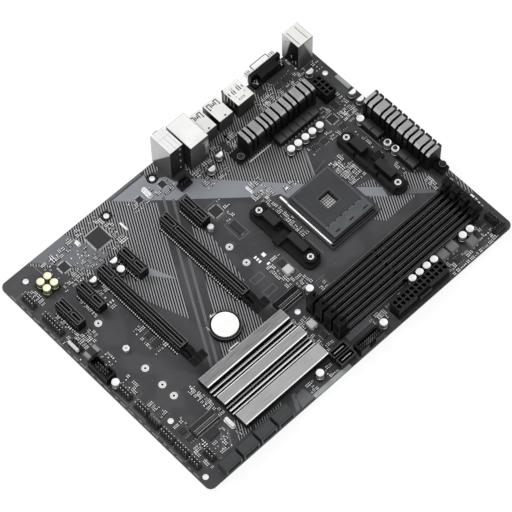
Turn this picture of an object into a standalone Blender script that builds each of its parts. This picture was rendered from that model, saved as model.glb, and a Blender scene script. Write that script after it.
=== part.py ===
"""ATX desktop motherboard, built as separate pieces on one circuit board.

Frame: origin at the centre of the circuit board's underside, +X towards the processor-power
edge, +Y towards the rear connector edge, +Z out of the component side. Every size below is in
millimetres, and heights named h are measured up from the board's component side.
"""

from math import cos, pi, radians, sin

import bmesh
import bpy
from mathutils import Matrix, Vector

MM = 0.001
GAP = 0.3                       # clearance between pieces that touch

# Circuit board
BOARD_X = 304.8
BOARD_Y = 223.5
BOARD_T = 1.6
BOARD_CORNER = 5.0
EDGE_X = BOARD_X / 2
EDGE_Y = BOARD_Y / 2
REST_PATCH = ((-7.0, -14.0), (14.0, 12.0))      # bare underside at the origin, clear of the backplate
TEST_POINT_R = 0.7              # shallow round test points at the patch's four corners
TEST_POINT_DEPTH = 0.15
MOUNT_HOLE_R = 2.0
MOUNT_HOLES = [(-135.9, 101.6), (-57.15, 101.6), (-11.4, 101.6), (146.05, 78.7),
               (146.05, -53.35), (-11.4, -53.35), (-135.9, -53.35), (-147.5, -101.7)]

# Processor socket and its cooler brackets
CPU_X = 69.1
CPU_Y = -3.2
COOLER_X = 90.0                 # cooler bolt spacing along X
COOLER_Y = 54.0                 # cooler bolt spacing along Y
COOLER_BOLT_R = 1.7
COOLER_HOLE_R = 2.2
SOCKET_BASE = ((42.0, -35.4), (88.6, 17.2))
SOCKET_BASE_H = 3.0
COVER = ((48.4, -31.0), (87.6, 16.6))
COVER_H = 6.4
SOCKET_WINDOW = 11.6
SOCKET_WINDOW_AT = (67.7, -4.2)
LEVER_R = 1.05
LEVER_X = 44.6
LEVER_AXLE_Y = -33.2
LEVER_TIP_Y = 22.6
LEVER_H = 2.5

# Expansion slots: one column every 20.32 mm, the column at index 2 is empty
SLOT_PITCH = 20.32
SLOT_FIRST_X = -10.1
SLOT_REAR_Y = 68.8
SLOT_W = 7.5
SLOT_H = 11.25
SLOT_GROOVE_W = 2.1
SLOT_X1 = 25.0
SLOT_X16 = 89.0
SLOT_KEY = 14.0                 # rear end of the slot to its key
X1_COLUMNS = (0, 3, 5, 6)
X16_COLUMNS = (1, 4)

# Memory slots
DIMM_FIRST_Y = -59.8
DIMM_PITCH = 9.25
DIMM_X = (1.4, 129.0)           # the open groove between the two towers
DIMM_W = 5.8
DIMM_GROOVE_W = 2.4
DIMM_H = 9.0
TOWER_X = -6.4
TOWER_H = 21.5
TOWER_W = 6.6
EAR_X = 137.6
EAR_H = 9.6
DIMM_KEY_X = 58.6
DIMM_LATCH_PIVOT = (133.6, 4.2)     # X and h

# Card sockets for drives: the module's edge stops at socket_y, its screw is length away
M2_HOLE_R = 1.0
M2_SOCKETS = (("m2_socket_1", -9.9, -37.2), ("m2_socket_2", -120.8, -67.2))
M2_EDGE = -3.2                  # the module's edge, seen from the socket's rear face
M2_1_LENGTHS = (42, 60)
M2_2_LENGTHS = (30, 42, 60, 110)
M2_STANDOFF_LENGTH = 80
M2_HOLES = [(M2_SOCKETS[0][1], M2_SOCKETS[0][2] + M2_EDGE + n) for n in M2_1_LENGTHS]
M2_HOLES += [(M2_SOCKETS[1][1], M2_SOCKETS[1][2] + M2_EDGE + n) for n in M2_2_LENGTHS]
PCIE_PIVOT = (SLOT_REAR_Y - SLOT_X16 - 6.6, 3.4)     # Y and h

# Heatsinks
VRM_H = 24.0
VRM_FOOT_H = 2.4
VRM_SLOT_FLOOR = 8.0
REAR_SINK_X = 51.5
REAR_SINK_Y = (62.5, 75.6)
REAR_FINS = (3.4, 2.9, 6.9, 3.1, 3.0, 4.5, 5.5, 4.2, 3.3, 6.5, 4.1, 3.3)
REAR_GAP = 1.67
TOP_SINK_X = (138.5, 152.2)
TOP_SINK_Y = 30.9
TOP_FINS = (2.6, 3.9, 6.9, 3.2, 3.4, 4.3, 5.5, 3.4, 3.4, 5.6, 3.1, 3.2)
TOP_GAP = 1.75
CHIP_SINK_X = (-102.6, -22.2)
CHIP_SINK_H = 10.0

# Coin cell
CELL_AT = (-57.6, -26.4)
CELL_R = 10.0
CELL_T = 3.2

# Colours: red, green, blue, roughness, metallic
COLOURS = {
    "solder_mask": (0.045, 0.046, 0.050, 0.55, 0.0),
    "connector_black": (0.012, 0.012, 0.013, 0.5, 0.0),
    "socket_grey": (0.075, 0.076, 0.080, 0.5, 0.0),
    "plated_steel": (0.74, 0.73, 0.70, 0.3, 1.0),
    "heatsink_grey": (0.42, 0.42, 0.43, 0.35, 1.0),
    "bright_steel": (0.80, 0.80, 0.80, 0.2, 1.0),
    "chip_black": (0.03, 0.03, 0.033, 0.6, 0.0),
    "backplate_black": (0.02, 0.02, 0.021, 0.45, 0.6),
    "latch_black": (0.018, 0.018, 0.019, 0.45, 0.0),
    "jack_grey": (0.35, 0.35, 0.36, 0.45, 0.4),
    "cell_steel": (0.72, 0.72, 0.70, 0.28, 1.0),
}


def clear_scene():
    for thing in list(bpy.data.objects):
        bpy.data.objects.remove(thing, do_unlink=True)
    for group in list(bpy.data.collections):
        bpy.data.collections.remove(group)


def make_collection(name):
    group = bpy.data.collections.new(name)
    bpy.context.scene.collection.children.link(group)
    return group


def make_material(name, red, green, blue, roughness, metallic):
    material = bpy.data.materials.new(name)
    material.use_nodes = True
    shader = material.node_tree.nodes["Principled BSDF"]
    shader.inputs["Base Color"].default_value = (red, green, blue, 1.0)
    shader.inputs["Roughness"].default_value = roughness
    shader.inputs["Metallic"].default_value = metallic
    return material


clear_scene()
PARTS = make_collection("motherboard")
CUTTERS = make_collection("cutters")
MATERIALS = {name: make_material(name, *values) for name, values in COLOURS.items()}


# ---------------------------------------------------------------- solids

def box(shape, low, high):
    """Add a box to a bmesh, from its lowest to its highest corner."""
    size = [(b - a) * MM for a, b in zip(low, high)]
    centre = Vector([(a + b) / 2 * MM for a, b in zip(low, high)])
    matrix = Matrix.Translation(centre) @ Matrix.Diagonal((*size, 1.0))
    bmesh.ops.create_cube(shape, size=1.0, matrix=matrix)


def cylinder(shape, centre, radius, depth, axis="Z", segments=24):
    """Add a cylinder to a bmesh, centred on a point and running along an axis."""
    turn = {"X": Matrix.Rotation(pi / 2, 4, "Y"), "Y": Matrix.Rotation(pi / 2, 4, "X"),
            "Z": Matrix.Identity(4)}[axis]
    place = Matrix.Translation(Vector(centre) * MM) @ turn
    bmesh.ops.create_cone(shape, cap_ends=True, segments=segments, radius1=radius * MM,
                          radius2=radius * MM, depth=depth * MM, matrix=place)


def outline(shape, points, start, end, plane="XY"):
    """Add a flat outline, drawn in a plane and extruded along that plane's normal."""
    curve = bpy.data.curves.new("outline", "CURVE")
    curve.dimensions = "2D"
    curve.fill_mode = "BOTH"
    curve.extrude = (end - start) / 2 * MM
    spline = curve.splines.new("POLY")
    spline.points.add(len(points) - 1)
    for point, (a, b) in zip(spline.points, points):
        point.co = (a * MM, b * MM, 0.0, 1.0)
    spline.use_cyclic_u = True
    sketch = bpy.data.objects.new("outline", curve)
    PARTS.objects.link(sketch)
    depsgraph = bpy.context.evaluated_depsgraph_get()
    flat = bpy.data.meshes.new_from_object(sketch.evaluated_get(depsgraph))
    bpy.data.objects.remove(sketch, do_unlink=True)
    middle = (start + end) / 2 * MM
    turn = {"XY": Matrix.Translation((0, 0, middle)),
            "YZ": Matrix(((0, 0, 1, middle), (1, 0, 0, 0), (0, 1, 0, 0), (0, 0, 0, 1))),
            "ZX": Matrix(((0, 1, 0, 0), (0, 0, 1, middle), (1, 0, 0, 0), (0, 0, 0, 1)))}[plane]
    flat.transform(turn)
    solid = bmesh.new()
    solid.from_mesh(flat)
    bmesh.ops.remove_doubles(solid, verts=solid.verts, dist=0.00001)
    bmesh.ops.recalc_face_normals(solid, faces=solid.faces)
    clean = bpy.data.meshes.new("outline")
    solid.to_mesh(clean)
    solid.free()
    shape.from_mesh(clean)


def divide(shape, point, normal):
    """Split a shape's faces along a plane, without removing anything."""
    parts = shape.verts[:] + shape.edges[:] + shape.faces[:]
    bmesh.ops.bisect_plane(shape, geom=parts, plane_co=Vector(point) * MM, plane_no=normal, dist=1e-7)


def arc(centre, radius, first, last, steps):
    """Points along an arc, with angles in degrees."""
    angles = [radians(first + (last - first) * i / steps) for i in range(steps + 1)]
    return [(centre[0] + radius * cos(a), centre[1] + radius * sin(a)) for a in angles]


def rounded(low, high, radius, steps=5):
    """Outline of a rectangle with round corners."""
    (x0, y0), (x1, y1) = low, high
    points = arc((x1 - radius, y1 - radius), radius, 0, 90, steps)
    points += arc((x0 + radius, y1 - radius), radius, 90, 180, steps)
    points += arc((x0 + radius, y0 + radius), radius, 180, 270, steps)
    points += arc((x1 - radius, y0 + radius), radius, 270, 360, steps)
    return points


def piece(name, shape, material, group=None):
    """Turn a bmesh into a named object."""
    mesh = bpy.data.meshes.new(name)
    shape.to_mesh(mesh)
    shape.free()
    mesh.materials.append(MATERIALS[material])
    item = bpy.data.objects.new(name, mesh)
    (group or PARTS).objects.link(item)
    return item


def tool(name, shape):
    """A cutter or an added body: kept out of the finished part."""
    item = piece(name, shape, "connector_black", CUTTERS)
    item.hide_render = True
    item.display_type = "WIRE"
    return item


def combine(item, shape, operation):
    helper = tool(f"{item.name}_{operation.lower()}_{len(item.modifiers)}", shape)
    modifier = item.modifiers.new(operation.lower(), "BOOLEAN")
    modifier.operation = operation
    modifier.solver = "EXACT"
    modifier.object = helper


def cut(item, shape):
    combine(item, shape, "DIFFERENCE")


def join(item, shape):
    combine(item, shape, "UNION")


def set_origin(item, x, y, z):
    """Move an object's origin to a point and leave its surface where it is."""
    offset = Vector((x, y, z)) * MM
    item.data.transform(Matrix.Translation(-offset))
    item.location = offset


def at(h):
    """Height above the component side, as a height in the part's frame."""
    return BOARD_T + h


def block(name, low, high, h0, h1, material):
    shape = bmesh.new()
    box(shape, (*low, at(h0)), (*high, at(h1)))
    return piece(name, shape, material)


# ---------------------------------------------------------------- board

def circuit_board():
    shape = bmesh.new()
    outline(shape, rounded((-EDGE_X, -EDGE_Y), (EDGE_X, EDGE_Y), BOARD_CORNER), 0, BOARD_T)
    bmesh.ops.dissolve_limit(shape, angle_limit=0.01, verts=shape.verts, edges=shape.edges)
    for x, y in REST_PATCH:
        divide(shape, (x, 0, 0), (1, 0, 0))
        divide(shape, (0, y, 0), (0, 1, 0))
    board = piece("circuit_board", shape, "solder_mask")
    holes = bmesh.new()
    for x, y in MOUNT_HOLES:
        cylinder(holes, (x, y, BOARD_T / 2), MOUNT_HOLE_R, 4, segments=20)
    for x, y in cooler_bolts():
        cylinder(holes, (x, y, BOARD_T / 2), COOLER_HOLE_R, 4, segments=16)
    for x, y in M2_HOLES:
        cylinder(holes, (x, y, BOARD_T / 2), M2_HOLE_R, 4, segments=12)
    for x in (REST_PATCH[0][0], REST_PATCH[1][0]):
        for y in (REST_PATCH[0][1], REST_PATCH[1][1]):
            cylinder(holes, (x, y, 0), TEST_POINT_R, TEST_POINT_DEPTH * 2, segments=8)
    cut(board, holes)


def cooler_bolts():
    return [(CPU_X + sx * COOLER_X / 2, CPU_Y + sy * COOLER_Y / 2)
            for sx in (-1, 1) for sy in (-1, 1)]


# ---------------------------------------------------------------- rear connectors

def connector_stack(name, xs, ys, height, mouths, material="plated_steel"):
    """A shielded connector stack whose mouths (x, h, width, height, depth) face the rear."""
    stack = block(name, (xs[0], ys[0]), (xs[1], ys[1]), GAP, height, material)
    openings = bmesh.new()
    for x, h, width, tall, depth in mouths:
        box(openings, (x - width / 2, ys[1] - depth, at(h - tall / 2)),
            (x + width / 2, ys[1] + 1, at(h + tall / 2)))
    cut(stack, openings)
    return stack


def usb_pair(x, low=4.6, step=6.9):
    """Two USB-A mouths, one above the other."""
    return [(x, low, 12.6, 5.2, 10.5), (x, low + step, 12.6, 5.2, 10.5)]


def rear_connectors():
    lan = connector_stack("lan_usb_stack", (14.8, 32.4), (86.2, 112.8), 30.3,
                          usb_pair(23.6) + [(23.6, 22.2, 11.8, 8.2, 14.0)])
    clip = bmesh.new()
    box(clip, (20.6, 98.7, at(26.0)), (26.6, 114, at(28.0)))
    cut(lan, clip)
    connector_stack("usb_stack_1", (35.6, 48.8), (94.9, 114.2), 15.8, usb_pair(42.2, 4.4, 6.8))
    connector_stack("usb_stack_2", (52.2, 65.4), (94.9, 114.2), 15.8, usb_pair(58.8, 4.4, 6.8))
    connector_stack("hdmi_dp_stack", (71.1, 87.1), (94.9, 113.4), 17.6,
                    [(79.1, 4.7, 14.2, 4.8, 9.0), (79.1, 12.9, 14.6, 4.9, 9.0)])
    ps2 = connector_stack("ps2_usb_stack", (133.3, 148.4), (94.9, 112.6), 30.5, usb_pair(140.9))
    port = bmesh.new()
    cylinder(port, (140.9, 108.6, at(23.2)), 4.7, 10, "Y", 24)
    cut(ps2, port)
    audio_jacks()
    vga_port()


def audio_jacks():
    jack_heights = (6.6, 17.3, 28.0)
    jack_x = 5.5
    stack = block("audio_jack_stack", (-0.8, 91.5), (11.8, 112.9), GAP, 34.5, "jack_grey")
    noses = bmesh.new()
    bores = bmesh.new()
    for h in jack_heights:
        cylinder(noses, (jack_x, 113.4, at(h)), 3.9, 3.0, "Y", 20)
        cylinder(bores, (jack_x, 109.4, at(h)), 1.85, 13.0, "Y", 12)
    join(stack, noses)
    cut(stack, bores)


def vga_port():
    middle = 112.6
    half = 15.4
    housing = block("vga_housing", (middle - half, 104.2), (middle + half, 111.8), GAP, 4.6,
                    "connector_black")
    core = bmesh.new()
    box(core, (middle - 9.0, 103.8, at(2.0)), (middle + 9.0, 110.0, at(11.8)))
    join(housing, core)
    flange = bmesh.new()
    box(flange, (middle - half + 0.1, 109.2, at(3.0)), (middle + half - 0.1, 111.9, at(12.5)))
    join(housing, flange)
    shell = block("vga_shell", (middle - half, 112.2), (middle + half, 112.9), 0.6, 12.2,
                  "plated_steel")
    middle_h = 6.4
    collar = bmesh.new()
    outline(collar, d_shape(middle, at(middle_h), 8.4, 4.2), 112.5, 118.2, "ZX")
    for side in (-1, 1):
        cylinder(collar, (middle + side * 12.5, 115.0, at(middle_h)), 2.7, 5.2, "Y", 6)
    join(shell, collar)
    mouth = bmesh.new()
    outline(mouth, d_shape(middle, at(middle_h), 7.9, 3.7), 111.8, 119.0, "ZX")
    cut(shell, mouth)


def d_shape(x, z, half_width, half_height):
    """D-shaped connector outline, listed as (z, x) for the ZX plane, wide side up."""
    lean = 1.1
    return [(z - half_height, x - half_width + lean), (z + half_height, x - half_width),
            (z + half_height, x + half_width), (z - half_height, x + half_width - lean)]


# ---------------------------------------------------------------- heatsinks

def fin_edges(start, widths, gap, direction=1):
    """Low and high ends of each gap between fins."""
    edges = []
    position = start
    for width in widths[:-1]:
        position += direction * width
        far = position + direction * gap
        edges.append((min(position, far), max(position, far)))
        position = far
    return edges, position + direction * widths[-1]


def vrm_heatsink_rear():
    gaps, end = fin_edges(REAR_SINK_X, REAR_FINS, REAR_GAP)
    near, far = REAR_SINK_Y
    profile = [(near, at(VRM_FOOT_H)), (far, at(VRM_FOOT_H)), (far, at(VRM_H)),
               (near + 3.4, at(VRM_H)), (near, at(VRM_H - 2.2))]
    shape = bmesh.new()
    outline(shape, profile, REAR_SINK_X, end, "YZ")
    sink = piece("vrm_heatsink_rear", shape, "heatsink_grey")
    foot = bmesh.new()
    box(foot, (42.4, near + 0.4, at(VRM_FOOT_H)), (REAR_SINK_X + 2, far - 1.0, at(5.6)))
    join(sink, foot)
    slots = bmesh.new()
    for low, high in gaps:
        box(slots, (low, near - 1, at(VRM_SLOT_FLOOR)), (high, far + 1, at(VRM_H + 1)))
    cylinder(slots, (46.2, 66.4, at(4)), 2.0, 6, segments=12)
    cut(sink, slots)


def vrm_heatsink_top():
    gaps, end = fin_edges(TOP_SINK_Y, TOP_FINS, TOP_GAP, -1)
    near, far = TOP_SINK_X
    profile = [(at(VRM_FOOT_H), near), (at(VRM_H - 2.2), near), (at(VRM_H), near + 2.2),
               (at(VRM_H), far), (at(VRM_FOOT_H), far)]
    shape = bmesh.new()
    outline(shape, profile, end, TOP_SINK_Y, "ZX")
    sink = piece("vrm_heatsink_top", shape, "heatsink_grey")
    foot = bmesh.new()
    box(foot, (near + 5.0, -46.6, at(VRM_FOOT_H)), (far - 0.4, end + 2, at(5.6)))
    join(sink, foot)
    slots = bmesh.new()
    for low, high in gaps:
        box(slots, (near - 1, low, at(VRM_SLOT_FLOOR)), (far + 1, high, at(VRM_H + 1)))
    cylinder(slots, (149.0, -42.2, at(4)), 2.0, 6, segments=12)
    cut(sink, slots)


def push_pin(name, x, y):
    """Spring-loaded pin: a domed head above the heatsink's foot, and its shaft."""
    shape = bmesh.new()
    cylinder(shape, (x, y, at(6.9)), 2.9, 1.8, segments=16)
    pin = piece(name, shape, "latch_black")
    shaft = bmesh.new()
    cylinder(shaft, (x, y, at(3.6)), 1.6, 6.2, segments=12)
    join(pin, shaft)


def chipset_heatsink():
    """Extruded block: three flat blades with low ribs in the two valleys between them."""
    low, floor, rib, top = 2.3, 3.6, 6.0, CHIP_SINK_H
    blades = [(-96.0, -84.6), (-74.2, -65.6), (-56.4, -46.5)]
    ribs = [[(-82.6, -81.6), (-79.6, -78.2), (-76.2, -75.2)], [(-63.0, -62.0), (-59.6, -58.0)], []]
    points = [(blades[-1][1], at(low)), (blades[0][0], at(low))]
    for (start, end), valley in zip(blades, ribs):
        points += [(start, at(floor if start > blades[0][0] else low + 0.4)), (start, at(top - 0.6)),
                   (start + 0.6, at(top)), (end - 0.6, at(top)), (end, at(top - 0.6))]
        if end < blades[-1][1]:
            points.append((end, at(floor)))
        for a, b in valley:
            points += [(a, at(floor)), (a, at(rib)), (b, at(rib)), (b, at(floor))]
    shape = bmesh.new()
    outline(shape, points, CHIP_SINK_X[0], CHIP_SINK_X[1], "YZ")
    piece("chipset_heatsink", shape, "heatsink_grey")


# ---------------------------------------------------------------- processor socket

def socket_base():
    (x0, y0), (x1, y1) = SOCKET_BASE
    base = block("cpu_socket_base", (x0, y0), (x1, y1), GAP, SOCKET_BASE_H, "socket_grey")
    room = LEVER_R + 0.45
    wx, wy = SOCKET_WINDOW_AT
    half = SOCKET_WINDOW / 2 + 0.6
    side = bmesh.new()
    box(side, (LEVER_X - room, LEVER_AXLE_Y - room, at(LEVER_H - room)),
        (LEVER_X + room, y1 + 1, at(SOCKET_BASE_H + 1)))
    cut(base, side)
    across = bmesh.new()
    box(across, (LEVER_X, LEVER_AXLE_Y - room, at(LEVER_H - room)),
        (x1 - 1.4, LEVER_AXLE_Y + room, at(SOCKET_BASE_H + 1.1)))
    cut(base, across)
    window = bmesh.new()
    box(window, (wx - half, wy - half, 0), (wx + half, wy + half, at(SOCKET_BASE_H + 1)))
    cut(base, window)


def socket_cover():
    """Sliding top plate that the lever drives; the window and cam marks are cut into it."""
    (x0, y0), (x1, y1) = COVER
    cover = block("cpu_socket_cover", (x0, y0), (x1, y1), SOCKET_BASE_H + GAP, COVER_H, "socket_grey")
    wx, wy = SOCKET_WINDOW_AT
    half = SOCKET_WINDOW / 2
    marks = bmesh.new()
    box(marks, (wx - half, wy - half, at(0)), (wx + half, wy + half, at(COVER_H + 1)))
    for i in range(3):
        x = x0 + 5.6 + i * 14.2
        box(marks, (x - 2.0, y0 + 2.6, at(COVER_H - 0.8)), (x + 2.0, y0 + 3.6, at(COVER_H + 1)))
    for i in range(6):
        x = x0 + 3.4 + i * 6.5
        box(marks, (x - 0.5, y0 + 8.6, at(COVER_H - 0.8)), (x + 0.5, y0 + 9.6, at(COVER_H + 1)))
    cut(cover, marks)
    set_origin(cover, CPU_X, CPU_Y, at(SOCKET_BASE_H))


def socket_lever():
    """Bent wire: an axle across the socket, and a handle along its side with a raised tip."""
    z = at(LEVER_H)
    bend = 2.0
    route = [(86.0, LEVER_AXLE_Y, z)]
    corner = arc((LEVER_X + bend, LEVER_AXLE_Y + bend), bend, 270, 180, 4)
    route += [(x, y, z) for x, y in corner]
    route += [(LEVER_X, LEVER_TIP_Y - 9.0, z), (LEVER_X, LEVER_TIP_Y - 6.5, z + 0.9),
              (LEVER_X, LEVER_TIP_Y, z + 0.9)]
    curve = bpy.data.curves.new("cpu_socket_lever", "CURVE")
    curve.dimensions = "3D"
    curve.bevel_depth = LEVER_R * MM
    curve.bevel_resolution = 2
    curve.use_fill_caps = True
    spline = curve.splines.new("POLY")
    spline.points.add(len(route) - 1)
    pivot = Vector((LEVER_X, LEVER_AXLE_Y, z)) * MM
    for point, place in zip(spline.points, route):
        point.co = (*(Vector(place) * MM - pivot), 1.0)
    curve.materials.append(MATERIALS["bright_steel"])
    lever = bpy.data.objects.new("cpu_socket_lever", curve)
    PARTS.objects.link(lever)
    lever.location = pivot


def cooler_bracket(name, side):
    """Plastic retention bracket: rails on a base, two screw towers and a lug for a clip."""
    x = CPU_X + side * COOLER_X / 2
    y = CPU_Y
    reach = COOLER_Y / 2
    base = rounded((x - 7.2, y - reach - 6.4), (x + 7.6, y + reach + 6.4), 5.6)
    shape = bmesh.new()
    outline(shape, base, at(GAP), at(3.2))
    bracket = piece(name, shape, "latch_black")
    walls = bmesh.new()
    inner = -7.0 if side > 0 else 4.9
    outer = 7.4 * side
    for low, high in ((-reach - 3.0, -13.4), (-10.4, 10.4), (13.4, reach + 3.0)):
        box(walls, (x + inner, y + low, at(2.8)), (x + inner + 2.3, y + high, at(8.2)))
    box(walls, (x - 2.6, y + 8.6, at(2.6)), (x + 4.3, y + reach - 5.3, at(10.8)))
    box(walls, (x - 1.9, y - reach + 5.3, at(2.5)), (x + 4.2, y - 4.2, at(10.7)))
    join(bracket, walls)
    lug = bmesh.new()
    box(lug, (min(x + 2.0, x + outer * 1.35), y - 3.2, at(2.7)),
        (max(x + 2.0, x + outer * 1.35), y + 3.2, at(6.4)))
    join(bracket, lug)
    towers = bmesh.new()
    for end in (-1, 1):
        cylinder(towers, (x, y + end * reach, at(5.0)), 4.8, 5.2)
    join(bracket, towers)
    bores = bmesh.new()
    for end in (-1, 1):
        cylinder(bores, (x, y + end * reach, at(1)), COOLER_HOLE_R, 8, segments=16)
    cut(bracket, bores)
    recesses = bmesh.new()
    for end in (-1, 1):
        cylinder(recesses, (x, y + end * reach, at(7.4)), 3.4, 5.0, segments=20)
    cut(bracket, recesses)


def bracket_screw(name, x, y):
    shape = bmesh.new()
    cylinder(shape, (x, y, at(6.4)), 2.6, 2.4, segments=20)
    screw = piece(name, shape, "bright_steel")
    shank = bmesh.new()
    cylinder(shank, (x, y, at(1.4)), COOLER_BOLT_R, 8.0, segments=12)
    join(screw, shank)
    drive = bmesh.new()
    cylinder(drive, (x, y, at(7.4)), 1.3, 1.6, segments=6)
    cut(screw, drive)


def backplate():
    half_x = COOLER_X / 2 + 7.0
    half_y = COOLER_Y / 2 + 6.0
    shape = bmesh.new()
    outline(shape, rounded((CPU_X - half_x, CPU_Y - half_y), (CPU_X + half_x, CPU_Y + half_y), 6.0),
            -2.4, -GAP)
    plate = piece("cpu_backplate", shape, "backplate_black")
    holes = bmesh.new()
    outline(holes, rounded((CPU_X - 13, CPU_Y - 13), (CPU_X + 13, CPU_Y + 13), 3.0), -4, 2)
    for x, y in cooler_bolts():
        cylinder(holes, (x, y, -1.5), COOLER_BOLT_R + GAP, 5, segments=16)
    cut(plate, holes)


# ---------------------------------------------------------------- memory and expansion slots

def dimm_slot(name, y):
    """Memory slot: fixed tower at one end, ears that carry the latch at the other."""
    slot = block(name, (TOWER_X, y - DIMM_W / 2), (EAR_X, y + DIMM_W / 2), GAP, DIMM_H,
                 "connector_black")
    ends = bmesh.new()
    box(ends, (TOWER_X + 0.1, y - TOWER_W / 2, at(GAP + 0.1)),
        (DIMM_X[0], y + TOWER_W / 2, at(TOWER_H)))
    box(ends, (DIMM_X[1], y - TOWER_W / 2, at(GAP + 0.1)),
        (EAR_X + 0.2, y + TOWER_W / 2, at(EAR_H)))
    join(slot, ends)
    groove = bmesh.new()
    half = DIMM_GROOVE_W / 2
    box(groove, (DIMM_X[0] - 4.4, y - half, at(2.6)), (DIMM_KEY_X - 0.8, y + half, at(TOWER_H + 1)))
    box(groove, (DIMM_KEY_X + 0.8, y - half, at(2.6)), (DIMM_X[1] + 1, y + half, at(EAR_H + 1)))
    cut(slot, groove)
    pocket = bmesh.new()
    box(pocket, (DIMM_X[1] + 0.6, y - 2.1, at(1.2)), (EAR_X + 2, y + 2.1, at(EAR_H + 2)))
    cut(slot, pocket)
    bore = bmesh.new()
    x, h = DIMM_LATCH_PIVOT
    cylinder(bore, (x, y, at(h)), 1.3, 9, "Y", 12)
    cut(slot, bore)


def dimm_latch(name, y):
    """Latch that tips outwards about its pivot to let the module go."""
    x, h = DIMM_LATCH_PIVOT
    profile = [(at(h - 2.0), x - 1.9), (at(h + 4.4), x - 2.6), (at(h + 9.6), x - 2.7),
               (at(h + 10.4), x - 4.2), (at(h + 11.6), x - 4.2), (at(h + 13.2), x - 2.6),
               (at(h + 17.6), x - 2.2), (at(h + 17.6), x + 3.6), (at(h + 14.8), x + 4.2),
               (at(h + 10.0), x + 1.7), (at(h + 4.0), x + 2.6), (at(h - 2.0), x + 1.9)]
    shape = bmesh.new()
    outline(shape, profile, y - 1.75, y + 1.75, "ZX")
    latch = piece(name, shape, "latch_black")
    extra = bmesh.new()
    cylinder(extra, (x, y, at(h)), 1.0, 6.2, "Y", 12)
    box(extra, (x - 1.8, y - 3.1, at(h + 14.9)), (x + 3.5, y + 3.1, at(h + 17.5)))
    join(latch, extra)
    set_origin(latch, x, y, at(h))


def column_x(column):
    return SLOT_FIRST_X - column * SLOT_PITCH


def pcie_slot(name, column, length):
    """Expansion slot: a block with a keyed groove; the long one has ears for its latch."""
    x = column_x(column)
    half = SLOT_W / 2
    end = SLOT_REAR_Y - length
    slot = block(name, (x - half, end), (x + half, SLOT_REAR_Y), GAP, SLOT_H, "connector_black")
    key = SLOT_REAR_Y - SLOT_KEY
    width = SLOT_GROOVE_W / 2
    if length == SLOT_X16:
        ears = bmesh.new()
        box(ears, (x - 3.6, PCIE_PIVOT[0] - 2.6, at(GAP + 0.1)), (x + 3.6, end + 1, at(7.4)))
        join(slot, ears)
        pocket = bmesh.new()
        box(pocket, (x - 2.5, PCIE_PIVOT[0] - 4, at(0.9)), (x + 2.5, end - 1.6, at(9)))
        cut(slot, pocket)
        bore = bmesh.new()
        cylinder(bore, (x, PCIE_PIVOT[0], at(PCIE_PIVOT[1])), 1.3, 9, "X", 12)
        cut(slot, bore)
    groove = bmesh.new()
    box(groove, (x - width, key + 0.9, at(2.4)), (x + width, SLOT_REAR_Y - 1.6, at(SLOT_H + 1)))
    box(groove, (x - width, end + 1.6, at(2.4)), (x + width, key - 0.9, at(SLOT_H + 1)))
    cut(slot, groove)


def pcie_latch(name, column):
    """Card latch: a hooked stem on a pivot, with a wide press pad behind it."""
    x = column_x(column)
    y, h = PCIE_PIVOT
    profile = [(y + 1.7, at(h - 1.7)), (y + 1.7, at(11.4)), (y + 3.6, at(12.8)), (y + 3.0, at(13.8)),
               (y - 0.6, at(13.4)), (y - 3.0, at(11.8)), (y - 11.2, at(11.8)), (y - 11.2, at(9.6)),
               (y - 2.6, at(9.2)), (y - 1.7, at(h - 1.7))]
    shape = bmesh.new()
    outline(shape, profile, x - 2.1, x + 2.1, "YZ")
    latch = piece(name, shape, "latch_black")
    extra = bmesh.new()
    cylinder(extra, (x, y, at(h)), 1.0, 6.8, "X", 12)
    box(extra, (x - 6.7, y - 11.1, at(9.7)), (x + 6.7, y - 4.6, at(11.7)))
    join(latch, extra)
    set_origin(latch, x, y, at(h))


# ---------------------------------------------------------------- headers and ports

def power_header(name, centre, columns, rows, long_axis):
    """Power header with one square cell for each pin, and a ramp for the plug's clip."""
    pitch = 4.2
    cell = 3.2
    height = 12.8
    half_long = columns * pitch / 2 + 0.6
    half_short = rows * pitch / 2 + 0.6
    cx, cy = centre
    along_x = long_axis == "X"
    hx, hy = (half_long, half_short) if along_x else (half_short, half_long)
    header = block(name, (cx - hx, cy - hy), (cx + hx, cy + hy), GAP, height, "connector_black")
    ramp = bmesh.new()
    if along_x:
        box(ramp, (cx - 6, cy - hy - 1.9, at(6.4)), (cx + 6, cy - hy + 0.8, at(10.2)))
        box(ramp, (cx - hx + 0.2, cy - hy - 1.0, at(0.5)), (cx + hx - 0.2, cy - hy + 0.8, at(4.6)))
    else:
        box(ramp, (cx - hx - 1.9, cy - 3, at(6.4)), (cx - hx + 0.8, cy + 3, at(10.2)))
    join(header, ramp)
    cells = bmesh.new()
    for i in range(columns):
        for j in range(rows):
            a = (i - (columns - 1) / 2) * pitch
            b = (j - (rows - 1) / 2) * pitch
            x, y = (cx + a, cy + b) if along_x else (cx + b, cy + a)
            box(cells, (x - cell / 2, y - cell / 2, at(3.4)), (x + cell / 2, y + cell / 2, at(height + 1)))
    cut(header, cells)


def sata_edge_port(name, x):
    """Right-angle port whose mouth is flush with the board's front edge."""
    half = 7.3
    port = block(name, (x - half, -111.7), (x + half, -102.2), GAP, 8.2, "chip_black")
    mouth = bmesh.new()
    box(mouth, (x - 6.1, -113, at(1.7)), (x + 6.1, -105.2, at(6.9)))
    cut(port, mouth)


def sata_upright_port(name, y):
    port = block(name, (-21.6, y - 2.95), (-7.0, y + 2.95), GAP, 8.2, "connector_black")
    mouth = bmesh.new()
    box(mouth, (-20.6, y - 2.3, at(2.0)), (-8.0, y + 2.3, at(9)))
    cut(port, mouth)


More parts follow.
